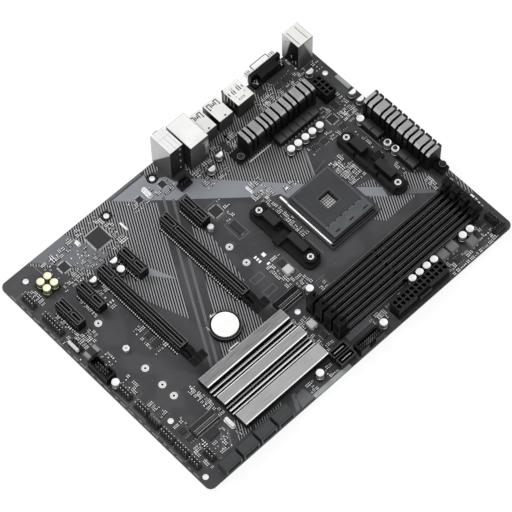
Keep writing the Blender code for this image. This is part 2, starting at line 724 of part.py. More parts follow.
def box_header(name, low, high, wall, height, notch):
    """Shrouded pin header, open at the top, with a key notch in one wall."""
    header = block(name, low, high, GAP, height, "connector_black")
    inside = bmesh.new()
    box(inside, (low[0] + wall, low[1] + wall, at(1.8)), (high[0] - wall, high[1] - wall, at(height + 1)))
    cut(header, inside)
    key = bmesh.new()
    box(key, (notch[0][0], notch[0][1], at(2.6)), (notch[1][0], notch[1][1], at(height + 2)))
    cut(header, key)


def fan_header():
    """Four-pin fan header: a base with a guide wall."""
    header = block("fan_header", (-3.4, 77.6), (7.6, 83.6), GAP, 3.2, "connector_black")
    wall = bmesh.new()
    box(wall, (-2.0, 82.2, at(2.6)), (5.4, 83.5, at(9.6)))
    join(header, wall)


def board_connectors():
    power_header("eps_power_header", (131.4, 66.4), 4, 2, "Y")
    power_header("atx_power_header", (62.2, -103.4), 12, 2, "X")
    for i in range(4):
        sata_edge_port(f"sata_port_{i + 1}", -128.9 + i * 16.87)
    sata_upright_port("sata_port_5", -98.3)
    sata_upright_port("sata_port_6", -105.8)
    box_header("usb3_header", (-4.4, -111.3), (18.4, -102.8), 1.5, 9.0, ((3.6, -113), (10.4, -109.0)))
    box_header("serial_header", (-149.6, -2.0), (-140.4, 18.6), 1.2, 9.0, ((-142.2, 5.8), (-139.4, 10.8)))
    fan_header()


def m2_socket(name, x, y):
    """Card-edge socket that opens towards the rear of the board."""
    socket = block(name, (x - 11, y - 8.8), (x + 11, y), GAP, 4.2, "chip_black")
    mouth = bmesh.new()
    box(mouth, (x - 10.2, y - 5.0, at(2.3)), (x + 10.2, y + 1, at(3.3)))
    cut(socket, mouth)


def m2_standoff(name, x, y, height, bore):
    shape = bmesh.new()
    cylinder(shape, (x, y, at((GAP + height) / 2)), 2.7, height - GAP, segments=6)
    standoff = piece(name, shape, "bright_steel")
    hole = bmesh.new()
    cylinder(hole, (x, y, at(height)), bore, 4.0, segments=12)
    cut(standoff, hole)


def m2_screw(x, y, height):
    shape = bmesh.new()
    cylinder(shape, (x, y, at(height + GAP + 0.5)), 2.3, 1.0, segments=20)
    screw = piece("m2_screw", shape, "bright_steel")
    shank = bmesh.new()
    cylinder(shank, (x, y, at(height - 0.2)), 0.9, 2.6, segments=12)
    join(screw, shank)


def chips():
    block("super_io_chip", (-81.1, 84.5), (-67.1, 98.5), GAP, 1.7, "chip_black")
    block("audio_codec_chip", (-111.6, 87.4), (-104.6, 94.4), GAP, 1.3, "chip_black")


def battery():
    """Coin cell holder with a raised rim, and the cell that lifts out of it."""
    x, y = CELL_AT
    shape = bmesh.new()
    cylinder(shape, (x, y, at((GAP + 4.6) / 2)), CELL_R + 2.2, 4.6 - GAP, segments=40)
    holder = piece("battery_holder", shape, "connector_black")
    well = bmesh.new()
    cylinder(well, (x, y, at(5.0)), CELL_R + 0.4, 6.4, segments=40)
    cut(holder, well)
    disc = bmesh.new()
    cylinder(disc, (x, y, at(2.2 + CELL_T / 2)), CELL_R, CELL_T, segments=48)
    cell = piece("coin_cell", disc, "cell_steel")
    set_origin(cell, x, y, at(2.2))


def drive_sockets():
    (name_1, x1, y1), (name_2, x2, y2) = M2_SOCKETS
    m2_socket(name_1, x1, y1)
    m2_socket(name_2, x2, y2)
    m2_standoff("m2_standoff_1", x1, y1 + M2_EDGE + M2_STANDOFF_LENGTH, 3.9, 1.3)
    m2_standoff("m2_standoff_2", x2, y2 + M2_EDGE + M2_STANDOFF_LENGTH, 3.4, 1.3)
    m2_screw(x1, y1 + M2_EDGE + M2_STANDOFF_LENGTH, 3.9)


def slots():
    for i in range(4):
        y = DIMM_FIRST_Y - i * DIMM_PITCH
        dimm_slot(f"dimm_slot_{i + 1}", y)
        dimm_latch(f"dimm_latch_{i + 1}", y)
    for i, column in enumerate(X16_COLUMNS):
        pcie_slot(f"pcie_x16_slot_{i + 1}", column, SLOT_X16)
        pcie_latch(f"pcie_latch_{i + 1}", column)
    for i, column in enumerate(X1_COLUMNS):
        pcie_slot(f"pcie_x1_slot_{i + 1}", column, SLOT_X1)


def processor_area():
    socket_base()
    socket_cover()
    socket_lever()
    cooler_bracket("cooler_bracket_1", -1)
    cooler_bracket("cooler_bracket_2", 1)
    for i, (x, y) in enumerate(cooler_bolts()):
        bracket_screw(f"bracket_screw_{i + 1}", x, y)
    backplate()


circuit_board()
rear_connectors()
vrm_heatsink_rear()
vrm_heatsink_top()
push_pin("push_pin_1", 46.2, 66.4)
push_pin("push_pin_2", 149.0, -42.2)
chipset_heatsink()
processor_area()
slots()
board_connectors()
drive_sockets()
battery()
chips()
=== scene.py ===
"""Looks for the desktop motherboard: materials for the CAD pieces, and every small part around them.

Same frame as the CAD: origin at the centre of the board's underside, +Z out of the component side.
Shapes are in millimetres and turn into metres where a mesh is made. Materials, camera and lights are in
metres, apart from the values multiplied by MM. TOP is the component side.
"""

import math
import random

import bpy
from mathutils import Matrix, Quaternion, Vector


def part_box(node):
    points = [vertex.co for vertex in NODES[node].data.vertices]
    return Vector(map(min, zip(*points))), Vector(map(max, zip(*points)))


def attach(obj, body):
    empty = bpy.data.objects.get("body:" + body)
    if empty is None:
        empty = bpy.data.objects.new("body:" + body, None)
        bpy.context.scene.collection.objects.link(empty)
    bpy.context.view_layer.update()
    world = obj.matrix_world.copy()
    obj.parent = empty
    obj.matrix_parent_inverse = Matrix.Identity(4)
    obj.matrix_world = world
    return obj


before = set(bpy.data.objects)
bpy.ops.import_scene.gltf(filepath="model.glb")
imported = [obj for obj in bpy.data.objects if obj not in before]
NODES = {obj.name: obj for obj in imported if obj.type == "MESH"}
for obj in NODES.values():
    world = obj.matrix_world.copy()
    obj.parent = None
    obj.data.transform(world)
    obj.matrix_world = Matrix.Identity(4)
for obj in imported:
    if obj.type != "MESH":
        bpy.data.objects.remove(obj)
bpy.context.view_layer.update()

MM = 0.001
TOP = 1.6                       # thickness of the board
PITCH = 2.54                    # spacing of the pins in open headers
POWER_PITCH = 4.2               # spacing of the cells in the power inputs
LONG_SLOT, SHORT_SLOT = 89.0, 25.0
SLOT_KEY = 14.0                 # from a card slot's rear end to its key
# middle, columns and rows of the cells in each power input
POWER_INPUTS = {"atx_power_header": (62.2, -103.4, 12, 2), "eps_power_header": (131.4, 66.4, 2, 4)}
CELL = (-57.6, -26.4)           # axis of the coin cell
BOARD = "board"
scene = bpy.context.scene


def bounds_mm(node):
    """Lowest and highest corner of a CAD node, in millimetres."""
    low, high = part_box(node)
    return [c / MM for c in low], [c / MM for c in high]


def centre(node):
    """Middle of a CAD node in plan, and the height of its top."""
    low, high = bounds_mm(node)
    return (low[0] + high[0]) / 2, (low[1] + high[1]) / 2, high[2]


def card_slots():
    """Middle, near end, far end and top of each card slot, and the length of its body."""
    for name in NODES:
        if name.startswith("pcie_x"):
            low, high = bounds_mm(name)
            length = LONG_SLOT if "x16" in name else SHORT_SLOT
            yield (low[0] + high[0]) / 2, low[1], high[1], high[2], length


def grid(x, y, columns, rows, pitch):
    """Points of a grid centred on a point, column by column."""
    for i in range(columns):
        for j in range(rows):
            yield x + (i - (columns - 1) / 2) * pitch, y + (j - (rows - 1) / 2) * pitch


# ---------------------------------------------------------------- mesh building

class Solid:
    """Closed shapes collected into one mesh, each face with its own material slot."""

    def __init__(self):
        self.points = []
        self.faces = []
        self.slots = []

    def loft(self, rings, slot=0):
        """Rings of points, listed anticlockwise seen from their far end, closed at both ends."""
        start = len(self.points)
        count = len(rings[0])
        for ring in rings:
            self.points += ring
        for k in range(len(rings) - 1):
            self.join(start + k * count, start + (k + 1) * count, count)
        self.faces.append(tuple(start + i for i in reversed(range(count))))
        last = start + (len(rings) - 1) * count
        self.faces.append(tuple(last + i for i in range(count)))
        self.slots += [slot] * (count * (len(rings) - 1) + 2)

    def join(self, low, high, count):
        """Four-sided faces between two rings of points."""
        for i in range(count):
            j = (i + 1) % count
            self.faces.append((low + i, low + j, high + j, high + i))

    def hoop(self, rings, slot):
        """Four rings of points joined into a closed hoop."""
        start = len(self.points)
        count = len(rings[0])
        for ring in rings:
            self.points += ring
        for k in range(4):
            self.join(start + k * count, start + (k + 1) % 4 * count, count)
        self.slots += [slot] * (4 * count)

    def box(self, x0, y0, z0, x1, y1, z1, slot=0, chamfer=0.0):
        """Box with an optional chamfer round its top."""
        self.prism([(x0, y0), (x1, y0), (x1, y1), (x0, y1)], z0, z1, slot, chamfer)

    def block(self, x, y, half_x, half_y, z0, z1, slot=0, chamfer=0.0):
        """Box centred on a point of the board."""
        self.box(x - half_x, y - half_y, z0, x + half_x, y + half_y, z1, slot, chamfer)

    def prism(self, outline, z0, z1, slot=0, chamfer=0.0):
        """Upright prism on a convex outline, anticlockwise seen from above."""
        rings = [[(x, y, z0) for x, y in outline]]
        if chamfer:
            rings.append([(x, y, z1 - chamfer) for x, y in outline])
            rings.append([(x, y, z1) for x, y in inset(outline, chamfer)])
        else:
            rings.append([(x, y, z1) for x, y in outline])
        self.loft(rings, slot)

    def turned(self, x, y, profile, slot=0, sides=20):
        """Upright round shape from (radius, height) pairs, lowest first."""
        self.loft([upright_circle(x, y, radius, z, sides) for radius, z in profile], slot)

    def disc(self, x, y, radius, z0, z1, slot=0, sides=20):
        """Upright round shape of one radius."""
        self.turned(x, y, [(radius, z0), (radius, z1)], slot, sides)

    def lying(self, x, z, profile, slot=0, sides=20):
        """Round shape along Y from (radius, y) pairs, nearest first."""
        self.loft([lying_circle(x, z, radius, y, sides) for radius, y in profile], slot)

    def ring(self, x, y, inner, outer, z0, z1, slot=0, sides=24):
        """Flat ring round an upright axis."""
        section = ((outer, z0), (outer, z1), (inner, z1), (inner, z0))
        self.hoop([upright_circle(x, y, radius, z, sides) for radius, z in section], slot)

    def lying_ring(self, x, z, inner, outer, y0, y1, slot=0, sides=20):
        """Flat ring round an axis that runs from front to rear."""
        section = ((outer, y0), (outer, y1), (inner, y1), (inner, y0))
        self.hoop([lying_circle(x, z, radius, y, sides) for radius, y in section], slot)

    def build(self, name, materials, body=BOARD, smooth=0.0):
        """Turn the collected shapes into one piece that rides on a body."""
        mesh = bpy.data.meshes.new(name)
        mesh.from_pydata([(x * MM, y * MM, z * MM) for x, y, z in self.points], [], self.faces)
        mesh.polygons.foreach_set("material_index", self.slots)
        for item in materials:
            mesh.materials.append(item)
        if smooth:
            mesh.polygons.foreach_set("use_smooth", [True] * len(self.faces))
            mesh.set_sharp_from_angle(angle=math.radians(smooth))
        mesh.update()
        piece = bpy.data.objects.new(name, mesh)
        scene.collection.objects.link(piece)
        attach(piece, body)
        return piece


def circle(sides):
    """Angles of evenly spaced points round a circle."""
    return [2 * math.pi * i / sides for i in range(sides)]


def upright_circle(x, y, radius, z, sides):
    """Points of a level circle round an upright axis."""
    return [(x + radius * math.cos(a), y + radius * math.sin(a), z) for a in circle(sides)]


def lying_circle(x, z, radius, y, sides):
    """Points of an upright circle round an axis along Y."""
    return [(x - radius * math.cos(a), y, z + radius * math.sin(a)) for a in circle(sides)]


def inset(outline, distance):
    """A convex outline moved inwards by a distance."""
    moved = []
    count = len(outline)
    for i in range(count):
        (ax, ay), (bx, by), (cx, cy) = outline[i - 1], outline[i], outline[(i + 1) % count]
        n1 = Vector((ay - by, bx - ax)).normalized()
        n2 = Vector((by - cy, cx - bx)).normalized()
        push = (n1 + n2) * (distance / (1 + n1.dot(n2)))
        moved.append((bx + push.x, by + push.y))
    return moved


def rounded(x0, y0, x1, y1, radius, steps=4):
    """Rectangle with round corners."""
    points = []
    corners = ((x1 - radius, y1 - radius, 0), (x0 + radius, y1 - radius, 90),
               (x0 + radius, y0 + radius, 180), (x1 - radius, y0 + radius, 270))
    for x, y, first in corners:
        for i in range(steps + 1):
            a = math.radians(first + 90 * i / steps)
            points.append((x + radius * math.cos(a), y + radius * math.sin(a)))
    return points


# ---------------------------------------------------------------- materials

class Nodes:
    """A Principled material and short calls to wire nodes into it."""

    def __init__(self, name, roughness, metallic=0.0):
        self.material = bpy.data.materials.new(name)
        self.material.use_nodes = True
        self.tree = self.material.node_tree
        self.shader = self.tree.nodes["Principled BSDF"]
        self.shader.inputs["Roughness"].default_value = roughness
        self.shader.inputs["Metallic"].default_value = metallic
        self.place = self.add("ShaderNodeTexCoord").outputs["Object"]

    def add(self, kind, **settings):
        """A new node of a kind, with its settings."""
        node = self.tree.nodes.new(kind)
        for key, value in settings.items():
            setattr(node, key, value)
        return node

    def feed(self, socket, value):
        """Wire another node's output into a socket, or set a constant on it."""
        if isinstance(value, bpy.types.NodeSocket):
            self.tree.links.new(value, socket)
        else:
            socket.default_value = value

    def math(self, operation, a, b=0.0):
        """One step of arithmetic on two numbers or node outputs."""
        node = self.add("ShaderNodeMath", operation=operation)
        self.feed(node.inputs[0], a)
        self.feed(node.inputs[1], b)
        return node.outputs[0]

    def times(self, a, b):
        return self.math("MULTIPLY", a, b)

    def inverse(self, value):
        """1 where the value is 0, and 0 where it is 1."""
        return self.math("SUBTRACT", 1.0, value)

    def mix(self, factor, a, b):
        """Colour a where the factor is 0 and b where it is 1."""
        node = self.add("ShaderNodeMix", data_type="RGBA")
        self.feed(node.inputs[0], factor)
        self.feed(node.inputs[6], a if isinstance(a, bpy.types.NodeSocket) else (*a, 1.0))
        self.feed(node.inputs[7], b if isinstance(b, bpy.types.NodeSocket) else (*b, 1.0))
        return node.outputs[2]

    def noise(self, scale, detail=4.0, stretch=None):
        """Soft noise fixed to the piece, drawn out along an axis where stretch is small."""
        node = self.add("ShaderNodeTexNoise")
        node.inputs["Scale"].default_value = scale
        node.inputs["Detail"].default_value = detail
        place = self.place
        if stretch:
            mapping = self.add("ShaderNodeMapping")
            mapping.inputs["Scale"].default_value = stretch
            self.feed(mapping.inputs["Vector"], place)
            place = mapping.outputs["Vector"]
        self.feed(node.inputs["Vector"], place)
        return node.outputs["Fac"]

    def step(self, value, low, high):
        """0 below low, 1 above high, smooth in between."""
        node = self.add("ShaderNodeMapRange", interpolation_type="SMOOTHSTEP")
        self.feed(node.inputs["Value"], value)
        node.inputs["From Min"].default_value = low
        node.inputs["From Max"].default_value = high
        return node.outputs["Result"]

    def spread(self, value, low=0.0, high=1.0):
        """Stretch a noise value, mostly 0.3 to 0.7, over a range."""
        node = self.add("ShaderNodeMapRange")
        self.feed(node.inputs["Value"], value)
        node.inputs["From Min"].default_value = 0.3
        node.inputs["From Max"].default_value = 0.7
        node.inputs["To Min"].default_value = low
        node.inputs["To Max"].default_value = high
        return node.outputs["Result"]

    def axes(self):
        """Place on the piece, in metres: x, y and z."""
        node = self.add("ShaderNodeSeparateXYZ")
        self.feed(node.inputs[0], self.place)
        return node.outputs

    def normal(self):
        """Direction a face looks in: x, y and z."""
        node = self.add("ShaderNodeSeparateXYZ")
        self.feed(node.inputs[0], self.add("ShaderNodeNewGeometry").outputs["Normal"])
        return node.outputs

    def edges(self, width):
        """1 along convex and concave edges, 0 on flat faces."""
        soft = self.add("ShaderNodeBevel", samples=4)
        soft.inputs["Radius"].default_value = width
        product = self.add("ShaderNodeVectorMath", operation="DOT_PRODUCT")
        self.feed(product.inputs[0], soft.outputs["Normal"])
        self.feed(product.inputs[1], self.add("ShaderNodeNewGeometry").outputs["Normal"])
        return self.step(product.outputs["Value"], 0.985, 0.90)

    def put(self, key, value):
        """Set one of the shader's own inputs, or wire a node into it."""
        self.feed(self.shader.inputs[key], value)

    def colour(self, value):
        self.put("Base Color", value)

    def rough(self, value):
        self.put("Roughness", value)

    def specular(self, value):
        self.put("Specular IOR Level", value)

    def bump(self, height, strength=0.3, distance=0.00005):
        """Fine relief from a height."""
        node = self.add("ShaderNodeBump")
        node.inputs["Strength"].default_value = strength
        node.inputs["Distance"].default_value = distance
        self.feed(node.inputs["Height"], height)
        self.feed(self.shader.inputs["Normal"], node.outputs["Normal"])


def grey(value, tint=(1.0, 1.0, 1.0)):
    """A colour scaled by a value, plain grey if no colour is given."""
    return tuple(value * t for t in tint)


def surface(name, colour, roughness, metallic=0.0, vary=0.15, grain=1500.0, bump=0.25, stretch=None,
            specular=0.5, edge=None, edge_width=0.22):
    """Moulded, plated or cast surface: fine grain, slow mottling and uneven gloss. Where edge is given, a
    line of that value is painted along convex and concave edges: a painted highlight where it is paler than
    the colour, painted shade where it is darker.
    """
    n = Nodes(name, roughness, metallic)
    fine = n.noise(grain, 3.0, stretch)
    slow = n.noise(90.0, 5.0)
    both = n.math("ADD", n.times(fine, 0.5), n.times(slow, 0.5))
    dark = grey(1 - vary, colour)
    light = tuple(min(1.0, c * (1 + vary)) for c in colour)
    shade = n.mix(n.spread(both), dark, light)
    # painted highlight or painted shade along the edges
    if edge:
        shade = n.mix(n.edges(edge_width * MM), shade, grey(edge))
    n.colour(shade)
    n.rough(n.spread(slow, max(0.04, roughness - 0.07), min(1.0, roughness + 0.07)))
    n.bump(fine, bump, 0.00004)
    n.specular(specular)
    return n.material


def black(name, value, edge=0.11, edge_width=0.22, grain=1900.0, bump=0.3):
    """Black plastic with a paler line painted along its edges, a painted highlight."""
    tint = (0.98, 0.99, 1.04)
    return surface(name, grey(value, tint), 0.46, 0.0, 0.2, grain, bump, None, 0.10, edge, edge_width)


def ink(name, colour, vary=0.06, specular=0.15):
    """Thin satin print."""
    return surface(name, colour, 0.5, 0.0, vary, 900.0, 0.05, None, specular)


def matt_grey(name, value, grain=2200.0, bump=0.2, vary=0.2, specular=0.15):
    """Matt grey: the painted highlight lines along edges, and the socket cover's rim line."""
    return surface(name, grey(value), 0.5, 0.0, vary, grain, bump, None, specular)


def choke_material():
    """Ferrite blocks whose upward faces are painted grey on the side that faces the socket and fade to black
    towards the heatsink, painted light and painted shade; their side faces are painted black as painted
    shade, and their edges carry a painted highlight line.
    """
    n = Nodes("ferrite_block", 0.5)
    x, y, _ = n.axes()
    up = n.step(n.normal()[2], 0.6, 0.9)
    row = n.step(y, 0.040, 0.050)
    fade = n.mix(row, n.step(x, 0.1375, 0.1300), n.step(y, 0.0625, 0.0530))
    grain = n.noise(2800.0, 3.0)
    shade = n.mix(n.times(fade, up), grey(0.006), grey(0.105))
    shade = n.mix(n.times(n.spread(grain), 0.2), shade, grey(0.03))
    n.colour(n.mix(n.times(n.edges(0.0003), 0.8), shade, grey(0.15)))
    n.specular(0.15)
    n.rough(n.spread(grain, 0.42, 0.58))
    n.bump(grain, 0.45, 0.00005)
    return n.material


def board_material():
    """Satin charcoal solder mask over faint copper tracks, with small plated vias."""
    n = Nodes("solder_mask_detail", 0.42)
    x, y, _ = n.axes()
    patch = n.step(n.noise(60.0, 2.0), 0.50, 0.56)
    other = n.step(n.noise(45.0, 2.0, (1.0, 1.3, 1.0)), 0.50, 0.56)
    lines = []
    for across, pitch in ((n.math("ADD", x, y), 0.0011), (x, 0.0009), (y, 0.0009)):
        wave = n.math("PINGPONG", across, pitch / 2)
        lines.append(n.step(wave, pitch * 0.18, pitch * 0.26))
    tracks = n.times(lines[0], patch)
    straight = n.times(lines[1], n.times(other, n.inverse(patch)))
    level = n.times(lines[2], n.inverse(n.math("MAXIMUM", patch, other)))
    quiet = n.step(n.noise(30.0, 1.0), 0.47, 0.55)
    raised = n.math("ADD", tracks, n.math("ADD", straight, level))
    raised = n.times(raised, quiet)
    base = n.mix(n.spread(n.noise(25.0, 4.0)), (0.039, 0.038, 0.042), (0.051, 0.050, 0.055))
    inked = n.mix(n.times(raised, 0.5), base, (0.095, 0.094, 0.100))
    spots = n.add("ShaderNodeTexVoronoi")
    spots.inputs["Scale"].default_value = 230.0
    n.feed(spots.inputs["Vector"], n.place)
    via = n.inverse(n.step(spots.outputs["Distance"], 0.055, 0.075))
    via = n.times(via, n.step(n.noise(55.0, 1.0), 0.48, 0.55))
    face = n.mix(n.times(via, 0.8), inked, (0.30, 0.29, 0.26))
    flat = n.step(n.math("ABSOLUTE", n.normal()[2]), 0.5, 0.8)
    n.colour(n.mix(flat, (0.012, 0.012, 0.013), face))
    n.rough(n.spread(n.noise(400.0, 3.0), 0.36, 0.50))
    n.specular(0.22)
    n.bump(n.math("ADD", raised, n.times(n.noise(2500.0, 2.0), 0.2)), 0.25, 0.00004)
    return n.material


def heatsink_material(name, floor_mm, blades, side_colour, stretch, rim=None):
    """Heatsink painted by face direction: side faces near-black, painted shade; upward faces above a level
    are brushed metal painted as lit, painted light, with chamfers painted brighter as a painted highlight.

    blades lists (y, brightness) steps across the heatsink. rim is (axis, start, end) of a painted shade that
    fades to black at the far end of a finned heatsink, whose fins also have painted black edges with a
    painted highlight line inside them. Without rim, the edges carry a bright painted highlight line.
    """
    n = Nodes(name, 0.38)
    x, y, z = n.axes()
    up = n.normal()[2]
    level = n.step(z, (TOP + floor_mm) * MM, (TOP + floor_mm + 0.2) * MM)
    # upward faces above the level are painted as lit metal, painted light; the rest take the painted shade
    # of side_colour
    painted_lit_faces = n.times(n.step(up, 0.35, 0.5), level)
    slope = n.inverse(n.step(up, 0.90, 0.97))
    brushed = n.noise(1200.0, 3.0, stretch)
    slow = n.noise(30.0, 3.0)
    value = grey(blades[0][1])
    for edge, brightness in blades[1:]:
        value = n.mix(n.step(y, (edge - 0.5) * MM, (edge + 0.5) * MM), value, grey(brightness))
    value = n.mix(n.times(n.spread(slow), 0.4), value, grey(0.13))
    value = n.mix(n.times(n.spread(brushed), 0.45), value, grey(0.50))
    # chamfers painted paler: painted highlight
    value = n.mix(n.times(slope, 0.6), value, grey(0.52))
    if rim:
        value = n.mix(n.times(n.edges(0.0018), 0.55), value, grey(0.75))
        value = n.mix(n.edges(0.0009), value, grey(0.006))
        value = n.mix(n.step((x, y)[rim[0]], rim[1] * MM, rim[2] * MM), value, grey(0.006))
    else:
        value = n.mix(n.times(n.edges(0.0004), 0.9), value, grey(0.95))
    dark = n.mix(n.spread(slow), grey(side_colour * 0.7), grey(side_colour * 1.4))
    n.colour(n.mix(painted_lit_faces, dark, value))
    n.put("Metallic", n.times(painted_lit_faces, 0.3))
    n.specular(n.math("ADD", 0.1, n.times(painted_lit_faces, 0.3)))
    n.rough(n.math("ADD", 0.34, n.times(brushed, 0.18)))
    n.bump(n.math("ADD", brushed, n.times(n.noise(2500.0), 0.3)), 0.15, 0.00004)
    return n.material


def shield_material(name, lid, inner, side, height_mm, reflection_patches=0.0, tint=(1.0, 0.997, 0.985), slant=None):
    """Tin-plated connector shell with its light and shade painted by face direction and height: bright lid
    and rear, walls painted darker towards the board as painted shade, pale patches as painted reflection,
    and a painted dark line along the edges.

    inner and side are (brightness at the board, brightness under the lid) of that painted shade. slant is
    the line, in millimetres of 3.05 x + z, past which the inner wall is painted pale, a painted reflection
    of the room.
    """
    n = Nodes(name, 0.34)
    x, y, z = n.axes()
    _, ny, nz = n.normal()
    rise = n.step(z, TOP * MM, (TOP + height_mm) * MM)
    cloud = n.spread(n.noise(70.0, 3.0), 0.0, 1.0)
    # walls painted darker towards the board: painted shade
    front = n.mix(rise, grey(inner[0], tint), grey(inner[1], tint))
    # pale patches on the inner wall: painted reflection
    front = n.mix(n.times(n.step(cloud, 0.55, 0.95), reflection_patches), front, grey(0.55, tint))
    if slant:
        across = n.math("ADD", n.times(x, 3.05), z)
        front = n.mix(n.step(across, slant * MM, (slant + 3.0) * MM), front, grey(0.44, tint))
    flank = n.mix(n.times(rise, n.step(y, 0.088, 0.112)), grey(side[0], tint), grey(side[1], tint))
    walls = n.mix(n.step(n.times(ny, -1.0), 0.5, 0.8), flank, front)
    walls = n.mix(n.step(ny, 0.5, 0.8), walls, grey(0.62, tint))
    top = n.mix(cloud, grey(lid * 0.96, tint), grey(lid * 1.03, tint))
    shade = n.mix(n.step(nz, 0.5, 0.8), walls, top)
    fine = n.noise(1100.0, 3.0, (1.0, 0.12, 1.0))
    shade = n.mix(n.times(n.spread(fine), 0.10), shade, grey(0.4, tint))
    shade = n.mix(n.times(n.edges(0.00022), 0.55), shade, grey(0.16, tint))
    n.colour(shade)
    n.put("Metallic", 0.25)
    n.specular(0.25)
    n.rough(n.spread(cloud, 0.28, 0.42))
    n.bump(fine, 0.08, 0.00004)
    return n.material


def jack_material():
    """Audio block: pale lid with fine seams, black inner face and a coloured nose on each jack. The outer
    walls are painted dark below a slanting line, painted shade, and pale above it, painted reflection; the
    edges carry a painted dark line.
    """
    n = Nodes("audio_block", 0.4)
    x, y, z = n.axes()
    _, ny, nz = n.normal()
    # slanting line on the outer walls: painted shade below it and painted reflection above it
    slant = n.math("ADD", n.times(z, 0.666), y)
    flank = n.mix(n.step(slant, 0.1134, 0.1148), grey(0.07), grey(0.58))
    inner = n.step(n.times(ny, -1.0), 0.5, 0.8)
    walls = n.mix(inner, flank, grey(0.006))
    seam = n.math("PINGPONG", n.math("ADD", x, 0.0009), 0.0017)
    seam = n.inverse(n.step(seam, 0.00008, 0.0002))
    top = n.mix(n.times(seam, 0.5), grey(0.76), grey(0.40))
    shade = n.mix(n.step(nz, 0.35, 0.6), walls, top)
    shade = n.mix(n.times(n.edges(0.00022), n.math("SUBTRACT", 0.8, inner)), shade, grey(0.10))
    nose = n.step(y, 0.11291, 0.11300)
    hue = n.mix(n.step(z, 0.0136, 0.0138), (0.62, 0.20, 0.26), (0.18, 0.46, 0.20))
    hue = n.mix(n.step(z, 0.0242, 0.0244), hue, (0.24, 0.36, 0.46))
    mottle = n.noise(1500.0, 3.0)
    shade = n.mix(nose, shade, hue)
    n.colour(n.mix(n.times(n.spread(mottle), 0.08), shade, grey(0.30)))
    n.put("Metallic", 0.0)
    n.specular(0.2)
    n.rough(n.spread(mottle, 0.34, 0.48))
    n.bump(mottle, 0.1, 0.00004)
    return n.material


def can_material(name, colour):
    """Drawn aluminium can: bright top; walls painted dark towards the board with pale streaks, a painted
    reflection of the dark board round it.
    """
    n = Nodes(name, 0.3)
    z = n.axes()[2]
    up = n.step(n.normal()[2], 0.55, 0.85)
    rise = n.step(z, (TOP + 1.5) * MM, (TOP + 8.0) * MM)
    streak = n.noise(500.0, 2.0, (1.0, 1.0, 0.05))
    wall = n.mix(rise, grey(0.05, colour), grey(0.22, colour))
    wall = n.mix(n.times(n.step(streak, 0.52, 0.62), 0.35), wall, grey(0.6, colour))
    grain = n.noise(1500.0, 3.0)
    lid = n.mix(n.spread(grain), grey(0.93, colour), colour)
    n.colour(n.mix(up, wall, lid))
    n.put("Metallic", 0.3)
    n.specular(0.3)
    n.rough(n.spread(grain, 0.26, 0.38))
    n.bump(grain, 0.08, 0.00004)
    return n.material


def lever_material():
    """Nickel-plated wire, near-black where it runs in the socket's bearing."""
    n = Nodes("lever_wire", 0.25, 0.6)
    y = n.axes()[1]
    streak = n.noise(900.0, 3.0, (1.0, 0.1, 1.0))
    bearing = n.step(n.times(y, -1.0), 0.0305, 0.0325)
    bright = n.mix(n.spread(streak), grey(0.80), grey(0.93))
    n.colour(n.mix(bearing, bright, grey(0.03)))
    n.rough(n.spread(streak, 0.2, 0.32))
    n.bump(streak, 0.08, 0.00004)
    return n.material


def bracket_material():
    """Glass-filled black plastic; its upward faces high on the bracket are painted paler as painted light,
    and its edges carry a painted highlight line.
    """
    n = Nodes("bracket_plastic", 0.44)
    z = n.axes()[2]
    up = n.step(n.normal()[2], 0.7, 0.9)
    high = n.times(up, n.step(z, (TOP + 8.4) * MM, (TOP + 10.2) * MM))
    grain = n.noise(1900.0, 3.0)
    shade = n.mix(high, grey(0.007), grey(0.026))
    shade = n.mix(n.times(n.spread(grain), 0.25), shade, grey(0.030))
    n.colour(n.mix(n.times(n.edges(0.00025), 0.5), shade, grey(0.075)))
    n.specular(0.12)
    n.rough(n.spread(grain, 0.38, 0.5))
    n.bump(grain, 0.4, 0.00005)
    return n.material


def plated(name, colour, roughness=0.3, metallic=0.75):
    """Tin or nickel plate: near-white metal with faint rolling lines and smudges."""
    return surface(name, colour, roughness, metallic, 0.06, 900.0, 0.08, (1.0, 0.12, 1.0))


